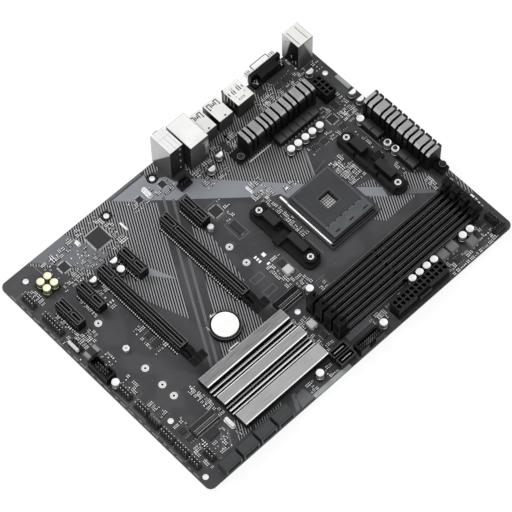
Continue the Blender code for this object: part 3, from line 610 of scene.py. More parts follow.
MATERIALS = {
    "board": board_material(),
    "black": black("moulded_black", 0.008),
    "slot": black("slot_black", 0.0045, 0.10, 0.25),
    "memory": black("memory_black", 0.0045, 0.10, 0.25),
    "power": black("power_black", 0.005, 0.035, 0.3),
    "header": black("header_black", 0.010, 0.12, 0.2),
    "socket": surface("socket_grey_detail", grey(0.050, (0.98, 0.99, 1.04)), 0.5, 0.0, 0.18, 2600.0, 0.3,
                      None, 0.15, 0.012),
    "cover": surface("socket_cover_detail", grey(0.056, (0.97, 0.99, 1.06)), 0.46, 0.0, 0.22, 2600.0, 0.4,
                     None, 0.15, 0.20, 0.3),
    "cover_strip": surface("socket_cam_strip", (0.080, 0.088, 0.090), 0.5, 0.0, 0.3, 1800.0, 0.4,
                           None, 0.15),
    "cover_line": matt_grey("socket_rim_line", 0.20, 1800.0),
    "bracket": bracket_material(),
    "latch": black("latch_plastic", 0.0045, 0.10, 0.2),
    "sata": surface("port_grey", grey(0.052, (0.92, 1.0, 1.04)), 0.48, 0.0, 0.12, 1900.0, 0.3,
                    None, 0.15, 0.02),
    "chip": surface("epoxy_package", grey(0.036, (1.0, 1.0, 1.06)), 0.52, 0.0, 0.2, 3200.0, 0.3,
                    None, 0.12, 0.05),
    "choke": choke_material(),
    "choke_light": surface("ferrite_grey", grey(0.15), 0.5, 0.0, 0.15, 2800.0, 0.35, None, 0.2, 0.05),
    "choke_pale": surface("ferrite_pale", grey(0.52), 0.5, 0.0, 0.12, 2800.0, 0.35, None, 0.2, 0.2),
    "bright": plated("nickel_bright", (0.83, 0.83, 0.83), 0.24, 0.7),
    "cell": plated("cell_can", (0.93, 0.93, 0.92), 0.30, 0.35),
    "tin": plated("solder_tin", (0.72, 0.72, 0.71), 0.32, 0.5),
    "gold": plated("contact_gold", (0.42, 0.31, 0.15), 0.32, 0.8),
    # contacts inside grooves and shrouds painted near-black: painted shade of the housing round them
    "dull": plated("contact_painted_shade", (0.060, 0.055, 0.045), 0.4, 0.5),
    "pin": plated("header_pin", (0.12, 0.12, 0.115), 0.35, 0.3),
    "drive": surface("drive_socket_grey", grey(0.026), 0.48, 0.0, 0.2, 2200.0, 0.3, None, 0.15, 0.20, 0.3),
    # rim and rim_dim: painted highlights, for the pale lines that rim_lines draws along edges
    "rim": matt_grey("rim_light", 0.21),
    "rim_dim": matt_grey("rim_dim", 0.085),
    "ink_pale": ink("ink_pale", (0.31, 0.335, 0.325)),
    "contact": surface("contact_grey", grey(0.24), 0.45, 0.0, 0.3, 3000.0, 0.2, None, 0.2),
    "bead": surface("solder_bead", grey(0.93), 0.35, 0.1, 0.1, 2500.0, 0.2, None, 0.3),
    "ring": plated("pad_tin", (0.80, 0.80, 0.79), 0.35, 0.4),
    "can": can_material("capacitor_can", (0.90, 0.90, 0.90)),
    "can_gold": can_material("capacitor_gold", (0.90, 0.88, 0.62)),
    "backplate": surface("backplate_paint", grey(0.012), 0.35, 0.2, 0.2, 1500.0, 0.5, None, 0.3, 0.06),
    "ink_light": ink("ink_grey_light", (0.245, 0.258, 0.282)),
    "ink_soft": ink("ink_grey_soft", (0.150, 0.158, 0.172)),
    "ink_mid": ink("ink_grey_mid", (0.130, 0.134, 0.142)),
    "ink_dark": ink("ink_charcoal", (0.009, 0.009, 0.010), 0.1, 0.12),
    "ink_stripe": ink("ink_stripe", (0.32, 0.32, 0.33), 0.08, 0.15),
    "ink_white": ink("ink_white", (0.25, 0.25, 0.25), 0.06, 0.2),
    "mark": surface("lid_print", grey(0.030), 0.45, 0.0, 0.2, 900.0, 0.05, None, 0.2),
    "ink_olive": ink("ink_olive", (0.030, 0.030, 0.014), 0.2, 0.1),
    "ink_black": ink("ink_black", (0.006, 0.006, 0.007), 0.2, 0.05),
    "ceramic": surface("capacitor_ceramic", (0.040, 0.038, 0.036), 0.45, 0.0, 0.3, 3000.0, 0.2, None, 0.2),
    "resistor": surface("resistor_black", grey(0.012), 0.35, 0.0, 0.3, 3000.0, 0.2, None, 0.2),
    "white_plastic": surface("moulded_white", (0.74, 0.73, 0.71), 0.45, specular=0.2, edge=0.30),
    "blue_plastic": surface("moulded_blue", (0.030, 0.12, 0.38), 0.42, specular=0.2),
    "green_plastic": surface("moulded_green", (0.15, 0.42, 0.17), 0.42, specular=0.2),
    "pink_plastic": surface("moulded_pink", (0.62, 0.20, 0.26), 0.42, specular=0.2),
    "shell_shade": surface("shell_fold_dark", grey(0.20), 0.4, 0.2, 0.2, 900.0, 0.05, None, 0.2),
    "shell_fold": surface("shell_fold_light", grey(0.42), 0.4, 0.2, 0.2, 900.0, 0.05, None, 0.2),
    "mouth": black("port_interior", 0.004, None),
    "shell_vga": surface("shell_vga", (0.84, 0.84, 0.83), 0.3, 0.2, 0.05, 900.0, 0.08, (1.0, 0.12, 1.0), 0.3,
                         0.012, 0.35),
    "jack": jack_material(),
    "lever": lever_material(),
    "shell_lan": shield_material("shell_lan", 0.83, (0.03, 0.10), (0.01, 0.04), 30.0, 0.8),
    "shell_usb": shield_material("shell_usb", 0.80, (0.030, 0.045), (0.008, 0.03), 15.0),
    "shell_video": shield_material("shell_video", 0.80, (0.030, 0.050), (0.008, 0.03), 17.0,
                                   tint=(1.0, 1.0, 0.96)),
    "shell_ps2": shield_material("shell_ps2", 0.78, (0.03, 0.11), (0.03, 0.75), 34.0, 0.15,
                                 (1.0, 0.995, 0.965), 454.0),
}

# material of each CAD node by the start of its name; a later entry wins
CAD_MATERIALS = {
    "circuit_board": "board", "audio_jack_stack": "jack", "lan_usb_stack": "shell_lan",
    "usb_stack": "shell_usb", "hdmi_dp_stack": "shell_video", "ps2_usb_stack": "shell_ps2",
    "vga_housing": "black", "vga_shell": "shell_vga", "push_pin": "black", "cpu_socket_base": "socket",
    "cpu_socket_cover": "cover", "cpu_socket_lever": "lever", "cpu_backplate": "backplate",
    "battery_holder": "black", "coin_cell": "cell", "super_io_chip": "chip", "audio_codec_chip": "chip",
    "m2_screw": "bright", "fan_header": "black", "usb3_header": "slot", "serial_header": "slot",
    "atx_power_header": "power", "eps_power_header": "power", "cooler_bracket": "bracket",
    "bracket_screw": "bright", "dimm_slot": "memory", "dimm_latch": "latch", "pcie_x": "slot",
    "pcie_latch": "latch", "sata_port": "sata", "sata_port_5": "header", "sata_port_6": "header",
    "m2_socket": "drive", "m2_socket_1": "slot", "m2_standoff": "bright",
}


def looks(names):
    """The materials with these names, as slots 0, 1, 2 and so on of a piece."""
    return [MATERIALS[name] for name in names.split()]


def dress_cad_nodes():
    """Give every CAD node its material."""
    along_y, along_x = (1.0, 0.05, 1.0), (0.05, 1.0, 1.0)
    sinks = {
        "vrm_heatsink_rear": heatsink_material("heatsink_rear_metal", 20.5, [(0, 0.22)], 0.006, along_y,
                                               (1, 64.0, 63.8)),
        "vrm_heatsink_top": heatsink_material("heatsink_top_metal", 20.5, [(0, 0.30)], 0.006, along_x,
                                              (0, 150.0, 150.2)),
        "chipset_heatsink": heatsink_material("heatsink_chipset_metal", 5.4,
                                              [(0, 0.36), (-80.0, 0.26), (-61.0, 0.115)], 0.008, along_x),
    }
    for name, node in NODES.items():
        chosen = sinks.get(name)
        for prefix, choice in CAD_MATERIALS.items():
            if name.startswith(prefix):
                chosen = MATERIALS[choice]
        for held in node.material_slots:
            held.material = chosen


# ---------------------------------------------------------------- camera, light and floor

def set_camera():
    """Long lens, high above the corner between the front and the audio side."""
    data = bpy.data.cameras.new("camera")
    data.sensor_width = 36.0
    data.lens = 174.87
    data.clip_start = 0.05
    data.clip_end = 30.0
    camera = bpy.data.objects.new("camera", data)
    camera.location = (-0.59222, -0.64373, 1.58884)
    camera.rotation_mode = "QUATERNION"
    camera.rotation_quaternion = Quaternion((0.89830, 0.23321, -0.08757, -0.36193))
    scene.collection.objects.link(camera)
    scene.camera = camera


def area_light(name, place, aim, size, power):
    """Round soft light aimed at a point."""
    data = bpy.data.lights.new(name, "AREA")
    data.shape = "DISK"
    data.size = size
    data.energy = power
    light = bpy.data.objects.new(name, data)
    light.location = place
    light.rotation_mode = "QUATERNION"
    light.rotation_quaternion = (Vector(aim) - Vector(place)).to_track_quat("-Z", "Y")
    scene.collection.objects.link(light)


def set_light():
    """White surroundings, a key light from the rear and a weaker fill from the front."""
    world = bpy.data.worlds.new("studio")
    world.use_nodes = True
    backdrop = world.node_tree.nodes["Background"]
    backdrop.inputs["Color"].default_value = (1.0, 1.0, 1.0, 1.0)
    backdrop.inputs["Strength"].default_value = 0.86
    scene.world = world
    area_light("key", (-0.3, 1.2, 1.6), (0, 0, 0), 0.9, 13.0)
    area_light("fill", (-1.2, -1.0, 1.3), (0, 0, 0), 1.2, 4.0)
    scene.view_settings.view_transform = "Standard"


def set_floor():
    """White paper that glows a little, so that it stays white beside the board and through its holes."""
    n = Nodes("floor_paper", 0.9)
    fibre = n.noise(300.0)
    n.colour(n.mix(n.spread(fibre), grey(0.135), grey(0.145)))
    n.bump(fibre, 0.02, 0.00004)
    n.shader.inputs["Emission Color"].default_value = (1.0, 1.0, 1.0, 1.0)
    n.shader.inputs["Emission Strength"].default_value = 0.86
    floor = Solid()
    floor.prism(rounded(-4000, -4000, 4000, 4000, 900, 8), -8.0, -2.6)
    piece = floor.build("floor", [n.material])


# ---------------------------------------------------------------- printed pattern

STRIPE_ANGLE = math.radians(61.0)
STRIPE_PITCH = 1.93
STRIPE_SHARE = 0.45             # part of the pitch that is pale
LAYER = 0.016                   # thickness of one printed layer
LINE = 0.062                    # thickness of printed lines
HOLE_GAP = 4.2                  # half of the square left unprinted round a screw hole
HOLES = [(-135.9, 101.6), (-57.15, 101.6), (-11.4, 101.6), (146.05, 78.7),
         (146.05, -53.35), (-11.4, -53.35), (-135.9, -53.35), (-147.5, -101.7)]

LIGHT_SHAPES = [
    [(-123.5, 111.7), (-93.5, 74.5), (-85.0, 70.5), (-76.5, 75.5), (-83.5, 98.0), (-90.0, 111.7)],
    [(-45.5, 108.3), (-36.5, 98.5), (-20.5, 85.0), (-10.5, 75.0), (-2.0, 75.0), (-2.0, 68.3),
     (31.0, 38.5), (38.0, 31.0), (48.0, 26.0), (49.5, 19.4), (66.8, 19.4), (11.0, 80.3),
     (-1.0, 88.0), (-3.0, 96.0), (-7.0, 98.2), (-12.0, 97.0), (-16.0, 101.0), (-13.5, 108.3)],
    [(92.0, -8.5), (92.0, -19.0), (103.5, -31.0), (106.0, -22.0)],
    [(-50.0, -108.2), (-50.0, -111.7), (-14.0, -111.7), (-14.0, -108.2)],
    [(148.9, 56.5), (152.3, 56.5), (152.3, 71.5), (148.9, 71.5)],
]
MID_SHAPES = [
    [(114.0, -38.0), (131.0, -53.0), (133.5, -52.0), (119.5, -36.2)],
    [(-48.0, 109.6), (-15.0, 109.6), (-15.0, 111.4), (-48.0, 111.4)],
    [(86.8, 43.0), (75.3, 19.6), (77.3, 19.6), (89.0, 43.0)],
    [(-59.5, -100.2), (-62.2, -110.5), (-50.0, -110.5), (-51.0, -100.0)],
    [(-67.5, -110.0), (-61.0, -98.0), (-57.5, -98.0), (-64.0, -110.0)],
]
# lower end, upper end, half width and layers of ink
SLANTED_LINES = [(-88.2, -46.0, -16.0, 84.5, 1.2, 3), (-82.8, -46.0, -12.0, 78.0, 1.2, 3),
                 (-123.4, -95.4, -116.6, -84.2, 0.9, 4), (-119.0, -98.0, -111.6, -85.6, 0.9, 4)]
STRIPED_ZONES = [
    [(-77.0, 76.0), (-27.3, 76.0), (-22.8, 84.0), (-36.5, 98.5), (-46.5, 109.3), (-49.0, 111.6),
     (-89.5, 111.6)],
    [(-71.0, -4.0), (-27.3, 76.0), (-84.0, 76.0), (-84.0, 30.0)],
    [(-78.0, -46.0), (-34.0, -46.0), (-34.0, 23.0)],
    [(-23.0, -8.0), (-21.0, -8.0), (-12.8, 35.0), (-15.0, 48.0), (-18.0, 52.0), (-23.0, 44.0)],
    [(11.0, 80.3), (66.8, 19.4), (75.3, 19.4), (88.0, 43.0), (72.0, 62.0), (50.0, 97.0), (14.0, 97.0)],
    [(52.0, 86.0), (113.0, 86.0), (108.0, 104.0), (52.0, 104.0)],
    [(94.0, -21.0), (103.5, -31.0), (114.0, -38.0), (119.0, -44.5), (88.0, -44.5), (82.0, -37.0),
     (92.0, -35.5)],
    [(119.5, -36.2), (121.5, -24.5), (128.0, -26.0), (138.0, -36.0), (138.0, -46.0), (131.0, -49.0)],
    [(94.0, -9.0), (106.0, -12.0), (105.0, -20.0), (103.0, -19.0)],
    [(-110.0, 88.5), (-110.0, 78.0), (-105.0, 70.5), (-97.0, 70.5), (-93.8, 74.5), (-103.8, 86.5)],
    [(-126.2, 110.5), (-116.5, 98.0), (-113.5, 98.5), (-123.6, 111.0)],
    [(-112.0, -98.0), (-98.0, -98.0), (-98.0, -84.0), (-104.0, -84.0)],
    [(-13.0, 104.0), (-2.0, 104.0), (-2.0, 111.6), (-13.0, 111.6)],
    [(147.5, -47.0), (152.2, -44.0), (152.2, -72.0), (149.0, -72.0)],
    [(-97.0, -99.5), (-70.0, -99.5), (-70.0, -96.5), (-97.0, -96.5)],
]


def clip(outline, nx, ny, limit):
    """The part of a convex outline where nx*x + ny*y is at most a limit."""
    kept = []
    for i, (bx, by) in enumerate(outline):
        ax, ay = outline[i - 1]
        before, after = nx * ax + ny * ay - limit, nx * bx + ny * by - limit
        if (before < 0) != (after < 0):
            t = before / (before - after)
            kept.append((ax + (bx - ax) * t, ay + (by - ay) * t))
        if after < 0:
            kept.append((bx, by))
    return kept


def around_holes(zone):
    """A convex zone split so that it leaves a square gap round each screw hole inside it."""
    pieces = [zone]
    for x, y in HOLES:
        left, right, near, far = x - HOLE_GAP, x + HOLE_GAP, y - HOLE_GAP, y + HOLE_GAP
        rest = []
        for part in pieces:
            middle = clip(clip(part, 1, 0, right), -1, 0, -left)
            if len(clip(clip(middle, 0, 1, far), 0, -1, -near)) < 3:
                rest.append(part)
                continue
            rest += [clip(part, 1, 0, left), clip(part, -1, 0, -right),
                     clip(middle, 0, -1, -far), clip(middle, 0, 1, near)]
        pieces = [part for part in rest if len(part) > 2]
    return pieces


def print_board():
    """Grey shapes, striped fields and the pair of slanted lines, as thin layers of ink."""
    light, mid, dark, stripes = Solid(), Solid(), Solid(), Solid()
    for i, shape in enumerate(LIGHT_SHAPES):
        light.prism(shape, TOP, TOP + LAYER, {0: 1, 3: 2, 4: 2}.get(i, 0))
    for shape in MID_SHAPES:
        mid.prism(shape, TOP, TOP + LAYER * 3)
    for x0, y0, x1, y1, half, layers in SLANTED_LINES:
        mid.prism([(x0 - half, y0), (x0 + half, y0), (x1 + half, y1), (x1 - half, y1)],
                  TOP, TOP + LAYER * layers)
    across = (math.sin(STRIPE_ANGLE), -math.cos(STRIPE_ANGLE))
    for zone in STRIPED_ZONES:
        for part in around_holes(zone):
            dark.prism(part, TOP, TOP + LAYER)
            reach = [across[0] * x + across[1] * y for x, y in part]
            for k in range(int(min(reach) // STRIPE_PITCH), int(max(reach) // STRIPE_PITCH) + 1):
                low = k * STRIPE_PITCH
                high = low + STRIPE_PITCH * STRIPE_SHARE
                stripe = clip(clip(part, *across, high), -across[0], -across[1], -low)
                if len(stripe) > 2:
                    stripes.prism(stripe, TOP, TOP + LAYER * 2)
    light.build("print_light", looks("ink_light ink_soft ink_pale"))
    mid.prism([(-64.1, 48.8), (-68.7, 43.4), (-55.2, 26.8)], TOP, TOP + LAYER * 3, 1)
    mid.build("print_mid", looks("ink_mid ink_light"))
    dark.build("print_dark", looks("ink_dark"))
    stripes.build("print_stripes", looks("ink_stripe"))


def mark_board():
    """White outlines and dots printed round the parts, and the plating of the holes."""
    ink, metal = Solid(), Solid()
    for i, (x, y) in enumerate(HOLES):
        metal.ring(x, y, 1.80, 1.97, 0.0, TOP + 0.06)
        metal.ring(x, y, 1.90, 2.2, TOP, TOP + 0.07)
        if i > 2:
            continue
        if i:
            ink.ring(x, y, 2.2, 4.3, TOP, TOP + LINE, 1)
        for a in circle(9):
            px, py = x + 3.5 * math.cos(a + 0.4), y + 3.5 * math.sin(a + 0.4)
            ink.disc(px, py, 0.35, TOP, TOP + 0.08, 2 if i else 1, 8)
    for x, y in M2_HOLES:
        metal.ring(x, y, 0.90, 2.75, TOP, TOP + 0.07, sides=32)
        ink.disc(x, y, 0.97, 0.1, TOP - 0.1, 1, 24)
        ink.ring(x, y, 1.85, 2.05, TOP, TOP + 0.09, 1, 32)
        ink.ring(x, y, 3.0, 3.15, TOP, TOP + LINE, sides=32)
        ink.box(x + 4.3, y - 1.6, TOP, x + 4.5, y + 1.6, TOP + LINE)
    for x0, y0, x1, y1 in OUTLINES:
        frame_line(ink, x0, y0, x1, y1)
    ink.box(50.7, 61.2, TOP, 72.6, 62.0, TOP + LINE, 3)
    for x0, y0, x1, y1, width in LINES:
        lean = Vector((y0 - y1, x1 - x0)).normalized() * (width / 2)
        ink.prism([(x0 - lean.x, y0 - lean.y), (x1 - lean.x, y1 - lean.y),
                   (x1 + lean.x, y1 + lean.y), (x0 + lean.x, y0 + lean.y)], TOP, TOP + LINE)
    for x0, y0, x1, y1, slot in PATCHES:
        ink.box(x0, y0, TOP, x1, y1, TOP + 0.07, slot)
    ink.box(-134.5, 80.2, TOP, -119.4, 95.0, TOP + 0.05, 4)
    for i in range(24):
        y = -99.0 + 8.4 * i
        ink.box(-151.5, y, TOP, -150.9, y + (5.4, 3.0, 6.2)[i % 3], TOP + LINE)
    ink.build("print_outlines", looks("ink_white ink_black ink_mid bead ink_olive ink_light"))
    metal.build("plated_rings", looks("ring"))


def frame_line(solid, x0, y0, x1, y1, width=0.2, height=LINE, base=TOP, slot=0):
    """Thin rectangular outline on the board or on a part."""
    low, high = y0 + width, y1 - width
    for a0, b0, a1, b1 in ((x0, y0, x1, low), (x0, high, x1, y1),
                           (x0, low, x0 + width, high), (x1 - width, low, x1, high)):
        solid.box(a0, b0, base, a1, b1, base + height, slot)


M2_HOLES = [(-9.9, 1.6), (-9.9, 19.6), (-120.8, -40.4), (-120.8, -28.4), (-120.8, -10.4), (-120.8, 39.6)]
DIMM_Y = [-59.8 - 9.25 * i for i in range(4)]
OUTLINES = [(-150.4, 48.4, -140.2, 71.0), (-150.8, -3.4, -139.2, 19.8), (-149.8, 80.0, -141.0, 95.5),
            (-18.5, -16.0, -8.0, -10.5), (-18.5, -29.5, -8.0, -24.0), (-149.2, -24.2, -140.2, -7.0),
            (-149.2, -41.5, -140.2, -25.5), (-2.2, 42.0, 9.6, 55.6), (14.2, -53.0, 21.4, -46.6),
            (-6.2, -111.5, 20.0, -101.2), (-150.2, -69.2, -141.4, -54.4), (-150.2, -83.6, -141.4, -69.6),
            (-132.6, -77.0, -109.0, -66.4), (-21.6, -46.8, 1.6, -35.8), (-0.4, 18.6, 9.2, 35.6),
            (-145.8, 20.8, -133.4, 31.2), (1.6, -30.0, 12.4, -20.0), (8.4, -19.4, 12.0, -13.6)]
# printed lines: x0, y0, x1, y1 and width
LINES = [(-123.6, 109.6, -122.4, 84.5, 0.4), (-12.5, 103.6, -45.0, 103.6, 0.3),
         (34.2, 48.0, 34.0, 40.0, 0.3), (88.6, 42.6, 77.2, 19.8, 1.1),
         (133.2, 96.8, 133.2, 108.6, 0.3), (133.6, 93.6, 147.6, 93.6, 0.3),
         (-96.5, -98.6, -70.0, -98.6, 0.3), (-4.0, -90.2, 24.0, -90.2, 0.3),
         (35.8, -32.0, 35.8, -16.0, 0.25), (14.0, -44.8, 24.0, -44.8, 0.25), (99.0, 21.0, 99.0, 4.0, 0.25),
         (86.0, 37.4, 108.0, 38.6, 0.25), (77.0, 21.0, 92.0, 24.0, 0.2), (-63.0, 74.5, -61.0, 60.0, 0.2),
         (75.0, 52.7, 117.6, 52.7, 0.4), (130.2, 29.2, 130.2, -10.0, 0.35)]
# bright or dark rectangles: x0, y0, x1, y1 and slot
PATCHES = [(-1.0, -96.4, 24.0, -91.6, 2), (53.4, 25.4, 55.8, 27.0, 3),
           (147.9, -75.5, 149.3, -72.0, 3), (148.4, -78.5, 149.2, -76.6, 3), (147.6, -82.0, 148.4, -80.0, 3),
           (-3.6, -0.6, -1.2, 0.9, 3), (-3.6, -3.0, -1.2, -1.6, 3),
           (-3.6, -5.5, -1.2, -4.0, 3), (2.2, -4.0, 5.0, -0.8, 3), (-0.2, -10.9, 2.4, -9.3, 3),
           (-105.9, 45.0, -105.1, 47.0, 3), (-103.4, 45.0, -102.6, 47.0, 3), (-101.2, 45.0, -100.4, 47.0, 3),
           (-103.8, 51.0, -102.6, 52.2, 3), (132.2, 96.6, 133.4, 97.8, 3), (132.2, 107.0, 133.4, 108.2, 3),
           (147.2, -85.5, 147.9, -83.6, 3), (145.4, -56.0, 146.6, -54.6, 3),
           (-136.0, -55.5, -134.8, -54.3, 3)]


# ---------------------------------------------------------------- parts on the board

CAPS = [(77.9, 45.5), (85.2, 45.5), (92.7, 45.5), (99.9, 45.5), (107.6, 45.5), (145.8, 49.9), (145.8, 41.4),
        (133.5, 28.4), (133.1, -0.7), (133.5, -8.4), (135.5, 85.2), (23.7, 74.4), (36.0, 79.3),
        (-101.8, 66.1), (-80.5, 67.5), (-81.4, 58.2), (5.7, -48.2), (-36.4, -101.8), (24.4, -104.7),
        (64.8, -93.8), (72.1, -93.8), (79.6, -93.7), (87.0, -93.8), (116.5, -94.2), (124.0, -94.2),
        (-145.3, -6.6)]
MARKED_CAPS = [(23.7, 74.4), (36.0, 79.3), (135.5, 85.2), (145.8, 49.9), (145.8, 41.4), (-101.8, 66.1),
               (-80.5, 67.5)]
DIM_CAPS = [(133.1, -0.7), (133.5, -8.4)]
AUDIO_CAPS = [(-130.3, 90.7), (-123.5, 90.8), (-130.4, 83.7), (-123.5, 83.7)]
# base plate with two cut corners
CAP_FOOT = [(-3.3, -3.3), (3.3, -3.3), (3.3, 2.4), (2.4, 3.3), (-2.4, 3.3), (-3.3, 2.4)]


def capacitors():
    """Surface-mount can capacitors: black base plate, crimped can and a domed rim."""
    for name, places, can in (("capacitors", CAPS, "can"), ("audio_capacitors", AUDIO_CAPS, "can_gold")):
        solid = Solid()
        for x, y in places:
            solid.prism([(x + dx, y + dy) for dx, dy in CAP_FOOT], TOP, TOP + 1.1, 0, 0.15)
            solid.turned(x, y, [(2.85, TOP + 1.1), (3.1, TOP + 1.3), (3.1, TOP + 2.0), (2.8, TOP + 2.25),
                                (2.8, TOP + 2.45), (3.1, TOP + 2.7), (3.1, TOP + 7.1), (2.95, TOP + 7.5),
                                (2.6, TOP + 7.7), (2.45, TOP + 7.62)], 1, 28)
            if (x, y) in MARKED_CAPS:
                half_moon(solid, x, y, 2.98, 0.75)
            if (x, y) in DIM_CAPS:
                solid.disc(x + 0.25, y + 0.35, 1.75, TOP + 7.6, TOP + 7.66, 2)
        solid.build(name, looks(f"black {can} mark"), smooth=35.0)


def half_moon(solid, x, y, radius, chord):
    """Printed polarity mark: the part of a round lid on the far side of a chord."""
    first = math.asin(chord / radius)
    sweep = math.pi - 2 * first
    points = [(x + radius * math.cos(first + sweep * i / 12), y + radius * math.sin(first + sweep * i / 12))
              for i in range(13)]
    solid.prism(points, TOP + 7.4, TOP + 7.74, 2)


def battery_clip():
    """Spring contact folded over the rim of the cell's holder, outside the cell."""
    solid = Solid()
    for x0, y0, x1, y1, top in ((-61.4, -15.2, -56.0, -14.6, 4.9), (-60.6, -14.6, -59.0, -13.0, 4.2),
                                (-58.2, -14.6, -56.8, -13.2, 3.4), (-68.9, -22.0, -68.3, -18.4, 4.9)):
        solid.box(x0, y0, TOP + 0.3, x1, y1, TOP + top, 0, 0.2)
    solid.ring(*CELL, 11.6, 11.95, TOP + 4.58, TOP + 4.64, 1, 48)
    solid.build("battery_clip", looks("bright choke_light"))


def power_chokes():
    """Moulded inductors with a seam round the middle and two tin feet."""
    solid = Solid()
    for i in range(6):
        choke(solid, 75.3 + 6.75 * i, 53.6, 81.9 + 6.75 * i, 62.1, 7.6, 0)
    for x0, y0, x1, y1, height, slot in CHOKES:
        choke(solid, x0, y0, x1, y1, height, slot)
    solid.build("inductors", looks("choke choke_light tin choke_pale"))


def choke(solid, x0, y0, x1, y1, height, slot):
    """One inductor: a block that bulges at its seam, and its feet."""
    rings = []
    for edge, z in ((0.1, TOP + 0.15), (0.0, TOP + height * 0.45), (0.0, TOP + height - 0.5),
                    (0.45, TOP + height)):
        rings.append([(x, y, z) for x, y in rounded(x0 + edge, y0 + edge, x1 - edge, y1 - edge, 0.5, 2)])
    solid.loft(rings, slot)
    half = (x0 + x1) / 2
    for x in (half - 2.2, half + 1.0):
        solid.box(x, y0 - 0.35, TOP, x + 1.2, y0 + 0.2, TOP + 1.2, 2, 0.1)
        solid.box(x, y1 - 0.2, TOP, x + 1.2, y1 + 0.35, TOP + 1.2, 2, 0.1)


CHOKES = [(130.8, 16.3, 138.1, 24.7, 7.6, 0), (130.8, 7.6, 138.1, 16.0, 7.6, 0),
          (130.8, -20.6, 138.1, -12.1, 7.6, 0), (130.8, -29.3, 138.1, -20.8, 7.6, 0),
          (91.4, -98.4, 99.4, -90.9, 6.2, 1), (100.9, -98.4, 108.9, -90.9, 6.2, 1),
          (115.2, -105.4, 122.6, -98.2, 5.8, 1), (3.4, -28.1, 10.2, -21.4, 4.0, 3),
          (-15.2, -71.7, -8.8, -65.4, 4.0, 3)]


def gull_leads(solid, x0, y0, x1, y1, count, slot, sides="EWNS", reach=1.1, width=0.24, rise=0.7):
    """Rows of bent leads round a chip's body."""
    for side in sides:
        vertical = side in "EW"
        low, high = (y0, y1) if vertical else (x0, x1)
        step = (high - low - 1.2) / (count - 1)
        for i in range(count):
            c = low + 0.6 + i * step
            for near, far, top in ((0.0, reach * 0.45, rise), (reach * 0.35, reach, 0.22)):
                if vertical:
                    a, b = (x1 + near, x1 + far) if side == "E" else (x0 - far, x0 - near)
                    solid.box(a, c - width / 2, TOP, b, c + width / 2, TOP + top, slot)
                else:
                    a, b = (y1 + near, y1 + far) if side == "N" else (y0 - far, y0 - near)
                    solid.box(c - width / 2, a, TOP, c + width / 2, b, TOP + top, slot)


def chip(solid, x0, y0, x1, y1, height, count=0, sides="EW"):
    """Moulded package with a bevelled lid, a pin-one dimple ring and its leads."""
    solid.box(x0, y0, TOP + 0.1, x1, y1, TOP + height, 0, 0.12)
    solid.ring(x0 + 0.9, y1 - 0.9, 0.25, 0.4, TOP + height - 0.01, TOP + height + 0.03, 0, 12)
    if count:
        gull_leads(solid, x0, y0, x1, y1, count, 1, sides, 0.9, 0.32, height * 0.5)


def chips_and_crystals():
    """Leads of the two large chips, then the small chips and the crystal cans."""
    chips, leads = Solid(), Solid()
    for name, count, reach, width, rise in (("super_io_chip", 32, 1.4, 0.22, 0.9),
                                            ("audio_codec_chip", 12, 1.2, 0.3, 0.7)):
        low, high = bounds_mm(name)
        gull_leads(leads, *low[:2], *high[:2], count, 0, "EWNS", reach, width, rise)
    leads.build("chip_leads", looks("tin"))
    for x0, y0, x1, y1, height, count, sides in CHIPS:
        chip(chips, x0, y0, x1, y1, height, count, sides)
    for x0, x1, slot in ((-145.5, -142.4, 2), (-142.9, -137.1, 0), (-137.6, -134.5, 2)):
        chips.box(x0, 22.1, TOP, x1, 28.3, TOP + 2.2, slot, 0.2)
    chips.build("chips", looks("chip tin contact"))
    crystals = Solid()
    for x, y, width, length, height in ((-22.5, 94.9, 3.2, 9.6, 3.2), (-107.2, -83.6, 3.2, 9.6, 3.2),
                                        (33.7, 44.2, 1.3, 7.0, 2.4), (-53.7, 86.0, 1.2, 8.0, 1.6),
                                        (-87.8, 98.6, 2.4, 4.8, 2.6), (-63.9, -42.4, 8.6, 1.6, 3.2)):
        a, b, radius = width / 2, length / 2, min(width, length) / 2
        foot = rounded(x - a - 0.4, y - b - 0.4, x + a + 0.4, y + b + 0.4, radius, 4)
        crystals.prism(foot, TOP, TOP + 0.5, 0, 0.1)
        can = rounded(x - a, y - b, x + a, y + b, radius - 0.05, 5)
        crystals.prism(can, TOP + 0.5, TOP + height, 0, 0.35)
    crystals.build("crystals", looks("bright"))


CHIPS = [(-0.7, 44.2, 7.5, 52.4, 0.9, 12, "EWNS"), (2.6, 21.2, 7.4, 33.2, 1.6, 4, "NS"),
         (-12.0, 90.0, -7.0, 95.4, 0.9, 8, "EWNS"),
         (-33.0, 92.4, -28.0, 97.0, 0.9, 6, "EWNS"), (117.5, 42.0, 124.5, 49.0, 0.9, 10, "EWNS"),
         (-103.6, 4.4, -98.8, 9.2, 1.5, 4, "NS"), (-104.6, -4.0, -98.0, 1.4, 1.4, 4, "NS"),
         (5.6, -19.0, 10.6, -14.2, 0.9, 0, "EW"), (96.0, 97.5, 102.0, 103.5, 1.2, 3, "NS"),
         (109.5, 92.4, 114.5, 97.0, 1.0, 3, "NS"), (118.5, 92.6, 125.0, 97.8, 1.0, 3, "NS"),
         (44.2, 79.0, 48.6, 88.0, 1.6, 4, "EW"), (-126.4, -84.0, -117.0, -79.6, 1.2, 0, "EW"),
         (-137.5, -75.0, -132.5, -71.0, 1.0, 3, "NS"), (-137.4, -67.0, -132.8, -63.0, 1.0, 0, "NS"),
         (-13.4, -82.4, -8.6, -77.0, 1.0, 4, "EW"), (-12.0, -95.0, -7.5, -90.6, 1.0, 0, "EW"),
         (100.0, -106.4, 105.0, -101.6, 1.0, 3, "NS"), (134.0, -96.5, 138.4, -91.5, 1.0, 3, "NS"),
         (120.0, 33.4, 124.6, 38.0, 1.0, 3, "NS"), (101.0, 33.6, 105.6, 38.2, 1.0, 3, "NS"),
         (92.0, 34.0, 96.6, 38.6, 1.0, 3, "NS"), (128.4, 50.4, 133.6, 55.6, 1.0, 3, "EW")]


